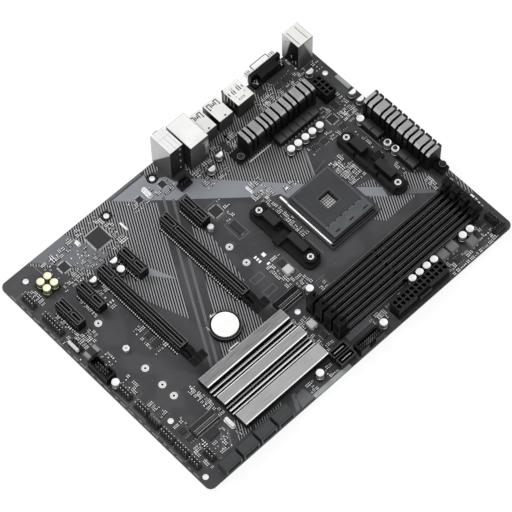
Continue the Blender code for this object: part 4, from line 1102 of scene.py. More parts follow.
def header_pins(solid, x, y, columns, rows, pitch, top, slot, width=0.62, foot=0.0, tip=0):
    """Square pins with tapered tips on a grid centred on a point."""
    half = width / 2
    for px, py in grid(x, y, columns, rows, pitch):
        solid.block(px, py, half, half, TOP + foot, TOP + top, slot, 0.2)
        if tip:
            solid.block(px, py, 0.24, 0.24, TOP + top - 0.3, TOP + top + 0.05, tip)


def pin_block(solid, x, y, columns, rows):
    """Open pin header: one eight-sided block for each pin, and the pins."""
    half = PITCH / 2 - 0.02
    flat = half - 0.35
    outline = ((-flat, -half), (flat, -half), (half, -flat), (half, flat), (flat, half), (-flat, half),
               (-half, flat), (-half, -flat))
    for px, py in grid(x, y, columns, rows, PITCH):
        solid.prism([(px + dx, py + dy) for dx, dy in outline], TOP, TOP + 2.4, 0, 0.12)
    header_pins(solid, x, y, columns, rows, PITCH, 8.4, 2, 0.62, 2.4, 4)


def fan_connector(solid, x, y, slot, turn):
    """Four-pin keyed header: a black tray, a scalloped guide wall on one side and the pins.

    turn is the side of the wall along X, or 0 where the wall is on the near side.
    """
    pins = 4
    half = pins * PITCH / 2 + 0.2
    for i in range(pins):
        along = (i - (pins - 1) / 2) * PITCH
        if turn:
            solid.block(x + turn * 1.9, y + along, 0.9, 1.2, TOP + 2.8, TOP + 7.0, slot, 0.5)
        else:
            solid.block(x + along, y - 1.9, 1.2, 0.9, TOP + 2.8, TOP + 7.0, slot, 0.5)
    if turn:
        solid.block(x, y, 2.9, half, TOP, TOP + 3.0, 0, 0.15)
        header_pins(solid, x - 0.6 * turn, y, 1, pins, PITCH, 8.0, 2, 0.62, 3.0)
    else:
        solid.block(x, y, half, 2.9, TOP, TOP + 3.0, 0, 0.15)
        header_pins(solid, x, y + 0.6, pins, 1, PITCH, 8.0, 2, 0.62, 3.0)


def pin_headers():
    """Open headers along the edges, and the pins inside the shrouded connectors."""
    solid = Solid()
    for x, y, columns, rows in ((-145.4, 86.4, 2, 5), (-145.4, 60.4, 2, 8), (-144.8, -15.4, 2, 5),
                                (-144.8, -33.4, 2, 5), (-145.8, -61.5, 2, 5), (-145.8, -76.0, 2, 5),
                                (-146.2, -89.4, 2, 4), (-134.6, -92.2, 2, 4)):
        pin_block(solid, x, y, columns, rows)
    for x, y, slot, turn in ((-145.3, 36.2, 1, -1), (-145.6, -46.6, 3, 1), (143.4, -59.5, 0, -1),
                             (143.4, -70.5, 0, -1), (143.4, -81.5, 0, -1), (143.8, -97.6, 0, -1),
                             (141.6, -107.0, 0, 0)):
        fan_connector(solid, x, y, slot, turn)
    solid.build("pin_headers", looks("header white_plastic pin choke_light bead"))
    inner = Solid()
    header_pins(inner, *centre("usb3_header")[:2], 10, 2, 2.0, 7.6, 1, 0.5, 1.7)
    header_pins(inner, *centre("serial_header")[:2], 2, 5, PITCH, 7.6, 1, 0.62, 1.7)
    header_pins(inner, 2.6, 79.6, 4, 1, PITCH, 8.6, 0, 0.62, 3.0)
    for place in POWER_INPUTS.values():
        header_pins(inner, *place, POWER_PITCH, 10.4, 0, 1.0, 3.3)
    inner.build("header_pins", looks("dull contact"))


def rim_lines():
    """Painted highlights: pale lines along slot walls, round the cells of the power inputs, on heatsink
    blades and push pins.
    """
    lines = Solid()
    for y in DIMM_Y:
        for dy, slot in ((2.70, 0), (1.38, 4), (-1.38, 4), (-2.70, 0)):
            lines.box(1.8, y + dy - 0.11, TOP + 8.98, 128.4, y + dy + 0.11, TOP + 9.03, slot)
    for x, _, far, top, length in card_slots():
        near = far - length + 0.15
        frame_line(lines, x - 3.62, near, x + 3.62, far - 0.15, 0.26, 0.04, top - 0.01)
        key = far - SLOT_KEY
        for y0, y1 in ((near + 1.1, key - 0.8), (key + 0.8, far - 1.1)):
            frame_line(lines, x - 1.5, y0, x + 1.5, y1, 0.3, 0.04, top - 0.01)
    for name, place in POWER_INPUTS.items():
        base = centre(name)[2] - 0.01
        for x, y in grid(*place, POWER_PITCH):
            frame_line(lines, x - 1.95, y - 1.95, x + 1.95, y + 1.95, 0.12, 0.04, base, 4)
    low, high = bounds_mm("chipset_heatsink")
    for y, z, width, slot in ((-95.6, 10.0, 0.7, 3), (-73.8, 10.0, 0.9, 3), (-56.0, 10.0, 1.0, 3),
                              (-65.9, 10.0, 0.4, 3), (-82.3, 6.0, 0.55, 3), (-79.2, 6.0, 0.8, 3),
                              (-75.9, 6.0, 0.5, 2), (-62.7, 6.0, 0.6, 3), (-59.2, 6.0, 0.8, 3)):
        half, base = width / 2, TOP + z
        lines.box(low[0] + 0.3, y - half, base - 0.02, high[0] - 0.3, y + half, base + 0.05, slot)
    for i in (1, 2):
        x, y, top = centre(f"push_pin_{i}")
        lines.ring(x, y, 2.45, 2.8, top - 0.02, top + 0.03, 0)
        lines.ring(x, y, 1.1, 1.4, top - 0.02, top + 0.03, 1)
    for i in (5, 6):
        low, high = bounds_mm(f"sata_port_{i}")
        x0, y0, x1, y1 = low[0] + 0.1, low[1] + 0.1, high[0] - 0.1, high[1] - 0.1
        frame_line(lines, x0, y0, x1, y1, 0.22, 0.04, high[2] - 0.01, 1)
    lines.build("rim_lines", looks("rim choke_light choke_pale bead rim_dim"))


def slot_contacts():
    """Spring contacts down both sides of each groove, and the solder tails beside the slots."""
    gold, tails = Solid(), Solid()
    for y in DIMM_Y:
        for i in range(140):
            x = 4.0 + 0.85 * i + (2.2 if i > 63 else 0.0)
            if x > 127.0:
                continue
            for side in (-1, 1):
                gold.block(x, y + side * 0.95, 0.18, 0.25, TOP + 4.0, TOP + 7.9)
                if i % 2:
                    tails.turned(x, y + side * 3.75, [(0.42, TOP), (0.30, TOP + 0.3)], sides=6)
                    tails.block(x, y + side * 3.0, 0.36, 0.15, TOP + 4.6, TOP + 6.6, 1)
    for x, near, far, _, length in card_slots():
        first = far - 2.6
        last = (far - length if length == LONG_SLOT else near) + 2.4
        y = first
        while y > last:
            if abs(y - (far - SLOT_KEY)) > 1.2:
                for side in (-1, 1):
                    gold.block(x + side * 0.85, y, 0.18, 0.22, TOP + 4.0, TOP + 8.6)
            y -= 1.0
        tails.box(x - 6.9, last - 0.6, TOP, x - 3.9, first + 0.8, TOP + 0.075, 3)
        y = first
        while y > last:
            tails.turned(x - 5.4, y, [(0.62, TOP), (0.5, TOP + 0.5), (0.2, TOP + 0.9)], 2, 8)
            tails.box(x - 3.9, y - 0.45, TOP + 4.2, x - 3.6, y + 0.45, TOP + 5.6, 1)
            tails.turned(x + 4.4, y, [(0.40, TOP), (0.2, TOP + 0.5)], sides=8)
            y -= 2.0
    gold.build("slot_contacts", looks("dull"))
    tails.build("slot_tails", looks("tin contact bead ink_black"))


def port_details():
    """Contact blades inside the drive ports, and the seams on top of the right-angle ones."""
    solid = Solid()
    for i in range(4):
        low, high = bounds_mm(f"sata_port_{i + 1}")
        x, _, top = centre(f"sata_port_{i + 1}")
        near, far = low[1], high[1]
        solid.box(x - 5.0, near + 0.9, TOP + 3.6, x + 5.0, near + 6.6, TOP + 4.8, 0, 0.1)
        solid.box(x + 4.0, near + 0.9, TOP + 4.8, x + 5.0, near + 6.6, TOP + 6.2, 0, 0.1)
        for k in range(7):
            left = x - 4.1 + 1.27 * k
            solid.box(left, near + 1.1, TOP + 4.8, left + 0.6, near + 6.4, TOP + 4.9, 1)
        solid.box(low[0] + 0.6, near + 0.5, top, high[0] - 0.6, near + 0.9, top + 0.12, 0)
        solid.box(low[0] + 0.5, far - 0.8, top, high[0] - 0.5, far - 0.4, top + 0.12, 0)
    for i in (5, 6):
        x, y, _ = centre(f"sata_port_{i}")
        solid.block(x, y, 5.0, 0.6, TOP + 2.0, TOP + 7.6, 0, 0.1)
        # pale strip on each tongue: painted highlight
        solid.block(x, y, 4.4, 0.2, TOP + 7.55, TOP + 7.65, 2)
        for k in range(7):
            left = x - 4.1 + 1.27 * k
            solid.box(left, y + 0.6, TOP + 2.2, left + 0.6, y + 0.7, TOP + 7.4, 1)
    solid.build("port_blades", looks("black gold choke_pale"))


def socket_details():
    """Pin holes in the socket's sliding cover, and the capacitors in its window."""
    low, high = bounds_mm("cpu_socket_cover")
    holes = Solid()
    middle, _, top = centre("cpu_socket_cover")
    for i in range(35):
        for j in range(35):
            x, y = middle + (i - 17) * 1.06, -2.6 + (j - 17) * 1.02
            if abs(x - 67.7) < 7.2 and abs(y + 4.2) < 7.2:
                continue
            if low[1] + 10.6 <= y <= high[1] - 1.0:
                holes.disc(x, y, 0.27, top - 0.02, top + 0.025, sides=6)
    holes.build("socket_pin_holes", looks("resistor"), "socket_cover")
    parts = Solid()
    for i in range(3):
        for j in range(6):
            chip_part(parts, 64.2 + 3.5 * i, -8.9 + 1.9 * j, 2.7, 1.25, 0.9, True, 0)
    # black plate under the window's capacitors: painted shade of the socket round them
    parts.box(62.0, -9.9, TOP, 73.4, 1.5, TOP + 0.1, 2)
    parts.build("socket_capacitors", looks("choke_pale bead ink_black"))
    cover_print(low, high)
    screw_recesses()


def cover_print(low, high):
    """Sliding cover: the rough strip over the cam, its border and slots, and the rim line."""
    strip = Solid()
    x0, y0, x1, y1, top = low[0] + 0.3, low[1] + 0.3, high[0] - 0.3, high[1] - 0.3, high[2]
    split = low[1] + 10.2
    strip.box(x0, y0, top - 0.02, x1, split - 0.5, top + 0.03)
    for a0, b0, a1, b1 in ((x0, split - 0.3, x1, split), (x0 + 0.8, y1 - 0.9, x1 - 0.8, y1 - 0.65),
                           (x0 + 0.8, split, x0 + 1.05, y1 - 0.9), (x1 - 1.05, split, x1 - 0.8, y1 - 0.9)):
        strip.box(a0, b0, top - 0.02, a1, b1, top + 0.05, 1)
    for i in range(3):
        x = low[0] + 5.6 + i * 14.2
        strip.block(x, low[1] + 3.0, 2.2, 0.5, top, top + 0.06, 2)
    for i in range(6):
        x = low[0] + 3.4 + i * 6.5
        strip.block(x, split + 0.2, 0.6, 0.5, top, top + 0.07, 2)
    strip.build("socket_cover_print", looks("cover_strip cover_line ink_black"), "socket_cover")


def screw_recesses():
    """Cross recesses in the four bracket screws, drawn as black marks, painted shade standing for the
    hollow, with a small dark dot beside each.
    """
    solid = Solid()
    for i in range(4):
        x, y, top = centre(f"bracket_screw_{i + 1}")
        for half_x, half_y in ((1.7, 0.32), (0.32, 1.7)):
            solid.block(x, y, half_x, half_y, top - 0.05, top + 0.03)
        solid.disc(x + 0.9, y + 1.3, 0.3, top - 0.05, top + 0.03, sides=8)
    solid.build("screw_recesses", looks("ink_black"))


def drive_socket_details():
    """Contact row in each card socket's mouth, and the bright rail behind it."""
    solid = Solid()
    for name in ("m2_socket_1", "m2_socket_2"):
        low, high = bounds_mm(name)
        for i in range(36):
            x = low[0] + 1.6 + 0.53 * i
            solid.box(x - 0.12, high[1] - 3.6, TOP + 1.9, x + 0.12, high[1] - 1.0, TOP + 2.32, 0)
            solid.box(x - 0.12, low[1] - 0.7, TOP, x + 0.12, low[1] + 0.1, TOP + 0.4, 1)
        for y, slot in ((low[1] + 0.5, 2), (low[1] + 2.2, 3), (high[1] - 5.2, 2), (high[1] - 0.5, 3)):
            solid.box(low[0] + 0.8, y - 0.15, high[2], high[0] - 0.8, y + 0.15, high[2] + 0.06, slot)
    solid.build("drive_contacts", looks("gold tin choke_pale rim"))


def chip_part(solid, x, y, length, width, height, along_x, slot):
    """Two-terminal part: body and plated ends."""
    a, b = (length / 2, width / 2) if along_x else (width / 2, length / 2)
    end = length * 0.3
    solid.block(x, y, a * 0.98, b * 0.94, TOP, TOP + height * 0.95, slot, height * 0.08)
    for side in (-1, 1):
        if along_x:
            x0, x1 = sorted((x + side * (a - end), x + side * a * 1.04))
            solid.box(x0, y - b, TOP, x1, y + b, TOP + height, 1, height * 0.1)
        else:
            y0, y1 = sorted((y + side * (b - end), y + side * b * 1.04))
            solid.box(x - a, y0, TOP, x + a, y1, TOP + height, 1, height * 0.1)


# fields of small parts: x0, y0, x1, y1 and density
SMD_FIELDS = [
    (-121.0, 74.0, -94.0, 106.0, 0.34), (-141.0, 78.0, -136.0, 97.0, 0.7),
    (-95.0, 76.0, -60.0, 109.0, 0.38), (-40.0, 88.0, -14.0, 99.0, 0.65), (-14.0, 84.0, -1.0, 99.0, 0.6),
    (-140.0, 44.0, -134.6, 67.0, 0.7), (-119.4, 44.0, -114.0, 67.0, 0.6), (-107.0, 41.0, -96.6, 63.0, 0.6),
    (-142.0, 30.0, -127.0, 45.0, 0.75), (-140.0, 8.0, -130.0, 20.0, 0.4), (-108.0, -8.0, -96.0, 18.0, 0.6),
    (-140.0, -24.0, -133.0, -4.0, 0.4), (-140.0, -50.0, -133.0, -30.0, 0.4),
    (-143.0, -100.0, -128.0, -55.0, 0.8), (-128.0, -97.0, -112.0, -78.0, 0.4),
    (-112.0, -78.0, -103.2, -42.0, 0.9), (-150.0, 20.5, -139.0, 48.0, 0.4),
    (3.0, -46.0, 16.0, -8.0, 0.9), (-4.0, -46.0, 3.0, -12.0, 0.75), (2.0, 36.0, 12.0, 41.5, 0.5),
    (9.6, 42.0, 14.0, 56.0, 0.6), (-21.6, -92.0, -7.0, -56.0, 0.8), (12.0, 66.0, 50.0, 92.0, 0.38),
    (88.0, 86.0, 134.0, 106.0, 0.6), (132.0, 78.0, 150.0, 100.0, 0.55), (115.0, 31.0, 142.0, 60.0, 0.85),
    (88.0, 32.0, 116.0, 41.5, 0.75), (90.5, -6.0, 106.0, 20.0, 0.7), (34.0, -12.0, 41.5, 32.0, 0.7),
    (30.0, 30.0, 47.0, 50.0, 0.6), (104.0, -6.0, 107.5, 14.0, 0.4), (122.0, -26.0, 130.2, 31.0, 0.5),
    (132.0, -55.0, 150.0, -38.0, 0.7), (20.0, -102.0, 62.0, -92.8, 0.6), (-50.0, -107.5, -22.5, -97.0, 0.6),
    (90.0, -111.0, 139.0, -99.0, 0.8), (124.0, -99.0, 140.0, -90.0, 0.8),
    (-109.0, -96.0, -103.2, -90.0, 0.9),
    (13.0, -53.5, 22.0, -46.0, 0.6), (138.0, -111.0, 150.0, -100.0, 0.4), (48.0, 78.0, 62.0, 92.0, 0.45),
    (-68.0, 76.0, -58.0, 106.0, 0.45), (52.0, 18.5, 66.0, 30.0, 0.3),
]


def taken_places():
    """Footprints that small parts keep clear of."""
    taken = []
    for name in NODES:
        if name in ("circuit_board", "cpu_backplate"):
            continue
        low, high = bounds_mm(name)
        taken.append((low[0] - 0.6, low[1] - 0.6, high[0] + 0.6, high[1] + 0.6))
    for x, y in CAPS + AUDIO_CAPS:
        taken.append((x - 4.0, y - 4.0, x + 4.0, y + 4.0))
    for x, y in HOLES:
        taken.append((x - 4.6, y - 4.6, x + 4.6, y + 4.6))
    for x, y in M2_HOLES:
        taken.append((x - 3.6, y - 3.6, x + 5.0, y + 3.6))
    for x0, y0, x1, y1, *_ in CHIPS:
        taken.append((x0 - 1.4, y0 - 1.4, x1 + 1.4, y1 + 1.4))
    taken += [(74.5, 53.5, 117.5, 63.0), (129.5, 6.5, 139.0, 29.5), (129.5, -31.5, 139.0, -8.5),
              (90.5, -99.2, 109.8, -90.0), (114.4, -106.2, 123.4, -97.4), (2.6, -29.0, 11.0, -20.6),
              (-16.0, -72.4, -8.0, -64.6), (-25.2, 89.0, -19.8, 100.6), (-109.8, -89.6, -104.6, -77.8),
              (-90.0, 95.2, -85.6, 102.0), (32.0, 39.8, 35.4, 48.6), (-150.0, -101.0, -141.4, -4.0),
              (-150.0, 49.0, -141.5, 95.5), (-149.0, 30.5, -142.0, 42.0), (-146.5, 21.5, -133.5, 29.0),
              (-106.6, 44.4, -99.8, 52.8), (139.6, -111.0, 150.0, -52.0),
              (-137.9, -98.0, -131.4, -86.4), (-83.6, 82.0, -64.6, 101.0), (-114.0, 85.0, -102.4, 97.0)]
    return taken


def small_parts():
    """Resistors and capacitors in side-by-side groups, some framed, with pads and vias between them."""
    rng = random.Random(7)
    solid, marks = Solid(), Solid()
    taken = taken_places()
    sizes = ((1.2, 0.6, 0.35), (1.8, 0.9, 0.45), (2.0, 1.0, 0.8), (2.4, 1.4, 0.9))
    for x0, y0, x1, y1, density in SMD_FIELDS:
        density = min(0.9, density * 1.25)
        y = y0
        while y < y1 - 1.5:
            x = x0 + rng.uniform(0.0, 1.0)
            tall = 2.0
            while x < x1 - 1.5:
                length, width, height = rng.choice(sizes[:3] if rng.random() < 0.85 else sizes)
                count = rng.choice((1, 2, 2, 3, 4))
                along_x = rng.random() < 0.45
                pitch = width + rng.choice((0.35, 0.45, 0.6))
                body = rng.choice((0, 2, 2, 3))
                a, b = (length, pitch * count) if along_x else (pitch * count, length)
                clear = all(x + a < t[0] or x > t[2] or y + b < t[1] or y > t[3] for t in taken)
                if clear and x + a < x1 + 0.6 and y + b < y1 + 0.6 and rng.random() < density:
                    # black patch under each group: painted shade round and under the parts
                    marks.box(x - 0.35, y - 0.35, TOP, x + a + 0.35, y + b + 0.35, TOP + 0.068, 2)
                    for k in range(count):
                        shift = pitch * (k + 0.5)
                        px, py = (x + length / 2, y + shift) if along_x else (x + shift, y + length / 2)
                        chip_part(solid, px, py, length, width, height, along_x, body)
                    if rng.random() < 0.3:
                        frame_line(marks, x - 0.6, y - 0.6, x + a + 0.6, y + b + 0.6, 0.2, 0.075)
                    tall = max(tall, b)
                elif clear:
                    size = rng.choice((0.3, 0.42))
                    marks.box(x, y, TOP, x + 2 * size, y + 2 * size, TOP + 0.07, rng.choice((0, 1)))
                    a = rng.uniform(1.0, 2.5)
                x += a + rng.choice((0.7, 0.8, 1.1))
            y += min(tall, 2.6) + rng.choice((0.7, 0.8, 1.0))
    solid.build("small_parts", looks("ceramic bead resistor choke_light"))
    marks.build("small_pads", looks("ink_mid bead ink_black"))


def underside_joints():
    """Solder joints where pins come through the board."""
    solid = Solid()
    rows = []
    for y in DIMM_Y:
        for i in range(74):
            x = 4.0 + 1.7 * i
            rows += [(x, y - 1.3), (x + 0.85, y - 0.4), (x, y + 0.5), (x + 0.85, y + 1.4)]
    for x, _, far, _, length in card_slots():
        for i in range(int(length / 2) - 1):
            y = far - 2.4 - 2 * i
            rows += [(x - 2.6, y), (x - 0.8, y - 1), (x + 0.8, y), (x + 2.6, y - 1)]
    for place in POWER_INPUTS.values():
        rows += grid(*place, POWER_PITCH)
    for name in NODES:
        low, high = bounds_mm(name)
        x, y, _ = centre(name)
        if name.startswith(("usb_stack", "lan_usb", "ps2_usb", "hdmi_dp", "audio_jack", "vga_housing")):
            rows += [(x + (i - 2) * 2.4, low[1] + 3.0 + j * 2.6) for i in range(5) for j in range(4)]
        elif name.startswith(("usb3_header", "serial_header", "sata_port")):
            for i in range(-3, 4):
                rows.append((x + i * 1.27, y) if high[0] - low[0] > 10 else (x, y + i * PITCH))
    for x, y in rows:
        if y < 110.8:
            solid.turned(x, y, [(0.12, -0.95), (0.24, -0.55), (0.40, 0.0)], sides=7)
    solid.build("underside_joints", looks("tin"), smooth=60.0)


# middle of the network, keyboard, double video and video plug connectors along X
LAN_X, PS2_X, VIDEO_X, VGA_X = 23.6, 140.9, 79.1, 112.6
VGA_Z = TOP + 6.4               # middle of the video plug's shell


def stack_top(name):
    """Left, near, right and rear limits of a connector, and the height of its lid."""
    low, high = bounds_mm(name)
    return low[0], low[1], high[0], high[1], high[2]


def edge_lines(solid, lines, z):
    """Shaded lines along a lid's edges."""
    for x0, y0, x1, y1 in lines:
        lid_cut(solid, x0, y0, x1, y1, z, 1)


def lid_cut(solid, x0, y0, x1, y1, z, slot=0):
    """A slit or a hole in a lid, drawn as a dark strip: painted shade standing for the opening."""
    solid.box(min(x0, x1), min(y0, y1), z - 0.04, max(x0, x1), max(y0, y1), z + 0.03, slot)


def spring_tongues(solid, middle, rear, z):
    """The zig-zag slit that leaves two spring tongues and a small one between them."""
    far, near = rear - 1.6, rear - 7.4
    width = 0.75
    for side in (-1, 1):
        outer, inner, small = middle + side * 4.7, middle + side * 2.2, middle + side * 0.9
        for x, start, end in ((outer, near, far), (inner, near + 1.2, far), (small, near + 2.0, far - 1.2)):
            lid_cut(solid, x - width / 2, start, x + width / 2, end, z)
        lid_cut(solid, outer, far - width, inner, far, z)
        lid_cut(solid, middle + side * 4.0, near, middle + side * 5.2, near + width, z)
    lid_cut(solid, middle - 0.9, near + 2.0, middle + 0.9, near + 2.0 + width, z)


def rear_connector_details():
    """Slits, folds and dimples in the shells, the parts inside their mouths, and the board locks."""
    cuts, metal = Solid(), Solid()
    for name in ("usb_stack_1", "usb_stack_2"):
        x0, y0, x1, y1, z = stack_top(name)
        spring_tongues(cuts, (x0 + x1) / 2, y1, z)
        cuts.disc(x0 + 7.2, y0 + 2.0, 0.8, z - 0.04, z + 0.03, sides=12)
        lid_cut(cuts, x0, y0 + 0.02, x1, y0 + 0.25, z, 1)
    x0, y0, x1, y1, z = stack_top("usb_stack_1")
    lid_cut(cuts, x0 + 3.6, y0 + 3.6, x0 + 3.8, y1 - 6.8, z, 1)
    video_lid(cuts, metal)
    tall_stack_lids(cuts, metal)
    audio_lid(cuts, metal)
    video_connector(cuts, metal)
    side_openings(cuts)
    cuts.build("shell_slits", looks("mouth shell_shade shell_fold"))
    metal.build("shell_trim", looks("bright tin black choke_pale"))
    port_inserts()


def video_lid(cuts, metal):
    """Lid of the double video port: six slits, two square marks, two dimples and a frame."""
    x0, y0, _, y1, z = stack_top("hdmi_dp_stack")
    for x, near, far in ((1.5, 5.2, 8.4), (4.6, 5.6, 9.4), (6.4, 5.6, 9.4), (9.9, 5.0, 9.0),
                         (11.8, 5.0, 9.0), (14.2, 6.0, 8.4)):
        lid_cut(cuts, x0 + x - 0.4, y1 - far, x0 + x + 0.4, y1 - near, z)
    for x in (5.0, 10.4):
        lid_cut(cuts, x0 + x, y1 - 4.6, x0 + x + 1.6, y1 - 4.3, z, 1)
        lid_cut(cuts, x0 + x, y1 - 5.8, x0 + x + 0.3, y1 - 2.4, z, 1)
        lid_cut(cuts, x0 + x + 1.4, y1 - 5.8, x0 + x + 1.7, y1 - 2.4, z, 1)
    for x, y in ((4.2, 6.8), (12.8, 7.0)):
        cuts.disc(x0 + x, y0 + y, 0.5, z - 0.04, z + 0.03, 1, 10)
    for a0, b0, a1, b1 in ((4.2, 4.0, 9.8, 4.4), (4.2, 2.8, 9.8, 3.1), (4.2, 2.8, 4.6, 4.4),
                           (9.4, 2.8, 9.8, 4.4)):
        lid_cut(cuts, x0 + a0, y0 + b0, x0 + a1, y0 + b1, z)
    for i in range(4):
        y = y1 - 3.0 - 3.4 * i
        metal.box(x0 - 0.12, y - 0.35, TOP + 8.0 + 1.5 * (i % 2), x0 + 0.1, y + 0.35, z - 0.6, 1)
    cuts.disc(x0 + 0.2, y1 - 0.6, 0.8, z - 1.2, z + 0.05, 0, 10)


def tall_stack_lids(cuts, metal):
    """The network stack's plain lid with its edge line, and the two long rails on the keyboard stack."""
    x0, y0, x1, y1, z = stack_top("lan_usb_stack")
    edge_lines(cuts, ((x0, y0, x0 + 0.2, y1), (x1 - 0.2, y0, x1, y1), (x0, y1 - 0.2, x1, y1)), z)
    metal.prism(rounded(x1 - 3.4, y0 - 0.25, x1 - 1.2, y0 + 0.1, 0.15, 3), TOP + 13.0, TOP + 19.0, 0, 0.1)
    x0, y0, x1, y1, z = stack_top("ps2_usb_stack")
    for near, far in ((2.6, 3.1), (10.6, 11.1)):
        lid_cut(cuts, x0 + near, y0 + 1.6, x0 + far + 0.1, y1 - 2.0, z, 1)
    for near, far in ((0.9, 2.4), (11.4, 12.6)):
        metal.box(x0 + near, y0 + 1.8, z - 0.05, x0 + far, y1 - 1.8, z + 0.25, 0, 0.12)
    edge_lines(cuts, ((x0, y0, x0 + 0.25, y1), (x0, y0, x1, y0 + 0.25), (x1 - 0.25, y0, x1, y1)), z)
    cuts.box(x0 - 0.05, y1 - 4.6, TOP + 23.3, x0 + 0.1, y1 - 3.4, TOP + 24.5, 0)
    cuts.box(x0 + 0.1, y0 - 0.04, z - 0.7, x1 - 0.3, y0 + 0.1, z - 0.15, 0)
    middle = (y0 + y1) / 2
    # black wedge on the keyboard stack's inner side wall: painted shade
    window = ((y0 + 0.1, TOP + 1.0), (y1 - 3.2, TOP + 1.0), (middle - 0.5, z - 0.2), (y0 + 0.1, z - 0.2))
    cuts.loft([[(x, y, h) for y, h in window] for x in (x0 - 0.04, x0 + 0.1)], 0)
    for y, h, tall in ((middle - 2.0, 9.0, 3.4), (middle - 3.4, 3.6, 2.0), (y0 + 2.2, 5.0, 4.0)):
        metal.box(x0 - 0.15, y, TOP + h, x0 + 0.05, y + 0.9, TOP + h + tall, 1, 0.1)


def audio_lid(cuts, metal):
    """Seams across the audio block's lid, and the pale grey tabs down its inner face."""
    x0, y0, x1, _, z = stack_top("audio_jack_stack")
    lid_cut(cuts, x0 + 0.4, 105.2, x1 - 0.4, 105.4, z, 2)
    lid_cut(cuts, x0 + 6.2, y0 + 0.5, x0 + 6.4, 105.2, z, 2)
    lid_cut(cuts, x0 + 10.2, y0 + 0.5, x0 + 10.4, 105.2, z, 2)
    lid_cut(cuts, x0, y0, x0 + 0.25, 112.9, z, 1)
    for i, z0 in enumerate((5.0, 14.0, 23.0, 30.0)):
        metal.box(x1 - 3.6, y0 - 0.2, TOP + z0, x1 - 2.7 + 0.4 * (i % 2), y0 + 0.1, TOP + z0 + 1.7, 3, 0.1)


def video_connector(cuts, metal):
    """Split board locks beside the video plug's housing, and dark lines across its lock nuts."""
    near, base = 104.2, TOP + 4.5
    for x, lean in ((100.0, -1), (125.6, 1)):
        for i, (dx, dy) in enumerate(((-1.5, 0.7), (0.0, 1.8), (1.5, 0.9), (0.2, -0.5))):
            a, b = x + dx, near + 2.0 + dy
            metal.prism([(a - 0.45, b - 0.3), (a + 0.45, b - 0.3), (a + 0.3, b + 0.4), (a - 0.3, b + 0.4)],
                        base, TOP + 6.2 + 0.4 * i, 0, 0.15)
        metal.turned(x - lean * 0.2, near + 0.7, [(0.75, base), (0.75, TOP + 5.3), (0.3, TOP + 5.8)], 0, 10)
        for turn in (-1, 1):
            end = x + turn * 1.9
            metal.prism([(x - 0.25, near + 0.9), (x + 0.25, near + 0.9), (end + 0.25, near + 4.4),
                         (end - 0.25, near + 4.4)], base, TOP + 5.4, 0, 0.1)
    top = VGA_Z + 4.2
    for a0, b0, a1, b1 in ((104.2, 117.6, 121.0, 118.2), (104.2, 113.0, 104.8, 118.2),
                           (120.4, 113.0, 121.0, 118.2)):
        lid_cut(cuts, a0, b0, a1, b1, top)
    for x in (100.1, 125.1):
        for k in range(3):
            cuts.block(x - 1.8 + 1.7 * k, 115.3, 0.2, 1.9, TOP + 9.0, TOP + 9.2)


def side_openings(cuts):
    """Windows and folds in the side walls that face the middle of the board, drawn as black strips: painted
    shade standing for the openings and the folds.
    """
    for name, upper in (("usb_stack_1", 9.4), ("usb_stack_2", 9.4), ("hdmi_dp_stack", 11.0)):
        x0, y0, _, y1, z = stack_top(name)
        for h in (3.0, upper):
            cuts.box(x0 - 0.04, y0 + 2.0, TOP + h, x0 + 0.1, y1 - 5.0, TOP + h + 4.4, 0)
        cuts.box(x0 - 0.04, y0 + 0.2, z - 1.0, x0 + 0.1, y1 - 0.4, z - 0.7, 0)


def port_inserts():
    """Tongues, contacts, lights and liners inside the rear mouths."""
    solid = Solid()
    for x, h, rear, colour in ((LAN_X, 4.6, 112.8, 3), (LAN_X, 11.5, 112.8, 3), (PS2_X, 4.6, 112.6, 0),
                               (PS2_X, 11.5, 112.6, 0), (42.2, 4.4, 114.2, 3), (42.2, 11.2, 114.2, 3),
                               (58.8, 4.4, 114.2, 3), (58.8, 11.2, 114.2, 3)):
        z = TOP + h
        solid.box(x - 5.5, rear - 10.4, z - 0.2, x + 5.5, rear - 1.2, z + 1.7, colour, 0.15)
        for i in range(4):
            solid.box(x - 4.0 + 2.2 * i, rear - 9.6, z - 0.32, x - 2.6 + 2.2 * i, rear - 1.8, z - 0.18, 2)
    for h, half, tall in ((4.7, 5.0, 0.9), (12.9, 5.4, 1.0)):
        low, high = TOP + h - tall / 2, TOP + h + tall / 2
        solid.box(VIDEO_X - half, 104.5, low, VIDEO_X + half, 112.0, high, 0, 0.1)
        for i in range(9):
            x = VIDEO_X - half + 0.8 + i * (2 * half - 1.6) / 8
            solid.box(x - 0.2, 105.0, low - 0.08, x + 0.2, 111.6, low + 0.05, 2)
    network_jack(solid)
    keyboard_jack(solid)
    video_holes(solid)
    for h, colour in ((6.6, 5), (17.3, 4), (28.0, 3)):
        solid.lying_ring(5.5, TOP + h, 1.55, 1.82, 108.0, 114.6, 2)
        solid.lying_ring(5.5, TOP + h, 2.1, 3.4, 114.85, 114.98, colour)
    colours = "blue_plastic green_plastic pink_plastic"
    solid.build("port_inserts", looks(f"black white_plastic gold {colours} bright"))


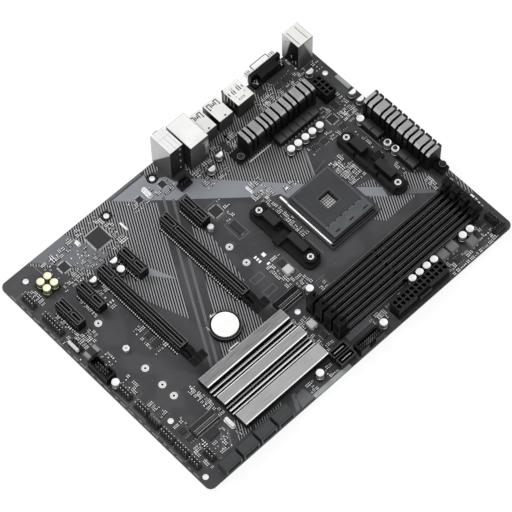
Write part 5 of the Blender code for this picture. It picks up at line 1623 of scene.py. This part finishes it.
def network_jack(solid):
    """Eight spring contacts on a slope, and the two lights in the corners of the jack."""
    x, z, rear = LAN_X, TOP + 22.2, 112.8
    for i in range(8):
        px = x - 3.6 + 1.02 * i
        ends = []
        for y, low, high in ((rear - 11.0, z - 0.6, z - 0.2), (rear - 1.5, z + 3.2, z + 3.5)):
            ends.append([(px - 0.2, y, high), (px + 0.2, y, high), (px + 0.2, y, low), (px - 0.2, y, low)])
        solid.loft(ends, 2)
    for side, colour in ((-1, 4), (1, 5)):
        px = x + side * 7.2
        solid.box(px - 1.1, rear - 0.2, z - 3.6, px + 1.1, rear + 0.12, z - 2.0, colour)


def keyboard_jack(solid):
    """Blue liner of the round port, with its key and six holes."""
    x, z = PS2_X, TOP + 23.2
    solid.lying(x, z, [(4.5, 103.8), (4.5, 107.0), (4.2, 107.4)], 3, 28)
    solid.box(x - 1.2, 107.2, z - 0.5, x + 1.2, 111.4, z + 0.9, 0, 0.1)
    for i in range(6):
        a = math.radians(30 + 60 * i)
        solid.lying(x + 2.7 * math.cos(a), z + 2.7 * math.sin(a), [(0.5, 107.3), (0.5, 107.5)], 0, 8)


def video_holes(solid):
    """Blue insert of the video plug with three rows of pin holes, and threads in its lock nuts."""
    x, z = VGA_X, VGA_Z
    outline = [(x - 7.3, z - 3.0), (x + 7.3, z - 3.0), (x + 6.4, z + 3.0), (x - 6.4, z + 3.0)]
    solid.loft([[(a, y, b) for a, b in outline] for y in (116.6, 112.4)], 3)
    for row in range(3):
        for i in range(5):
            px = x - 4.5 + 2.25 * i + (0.5 if row == 1 else 0.0)
            solid.lying(px, z - 1.9 + 1.9 * row, [(0.42, 116.5), (0.42, 116.7)], 0, 8)
    for side in (-1, 1):
        solid.lying(x + side * 12.5, z, [(1.3, 117.5), (1.3, 117.72)], 0, 12)


dress_cad_nodes()
set_camera()
set_light()
set_floor()
print_board()
mark_board()
rear_connector_details()
capacitors()
battery_clip()
power_chokes()
chips_and_crystals()
pin_headers()
slot_contacts()
rim_lines()
port_details()
socket_details()
drive_socket_details()
small_parts()
underside_joints()
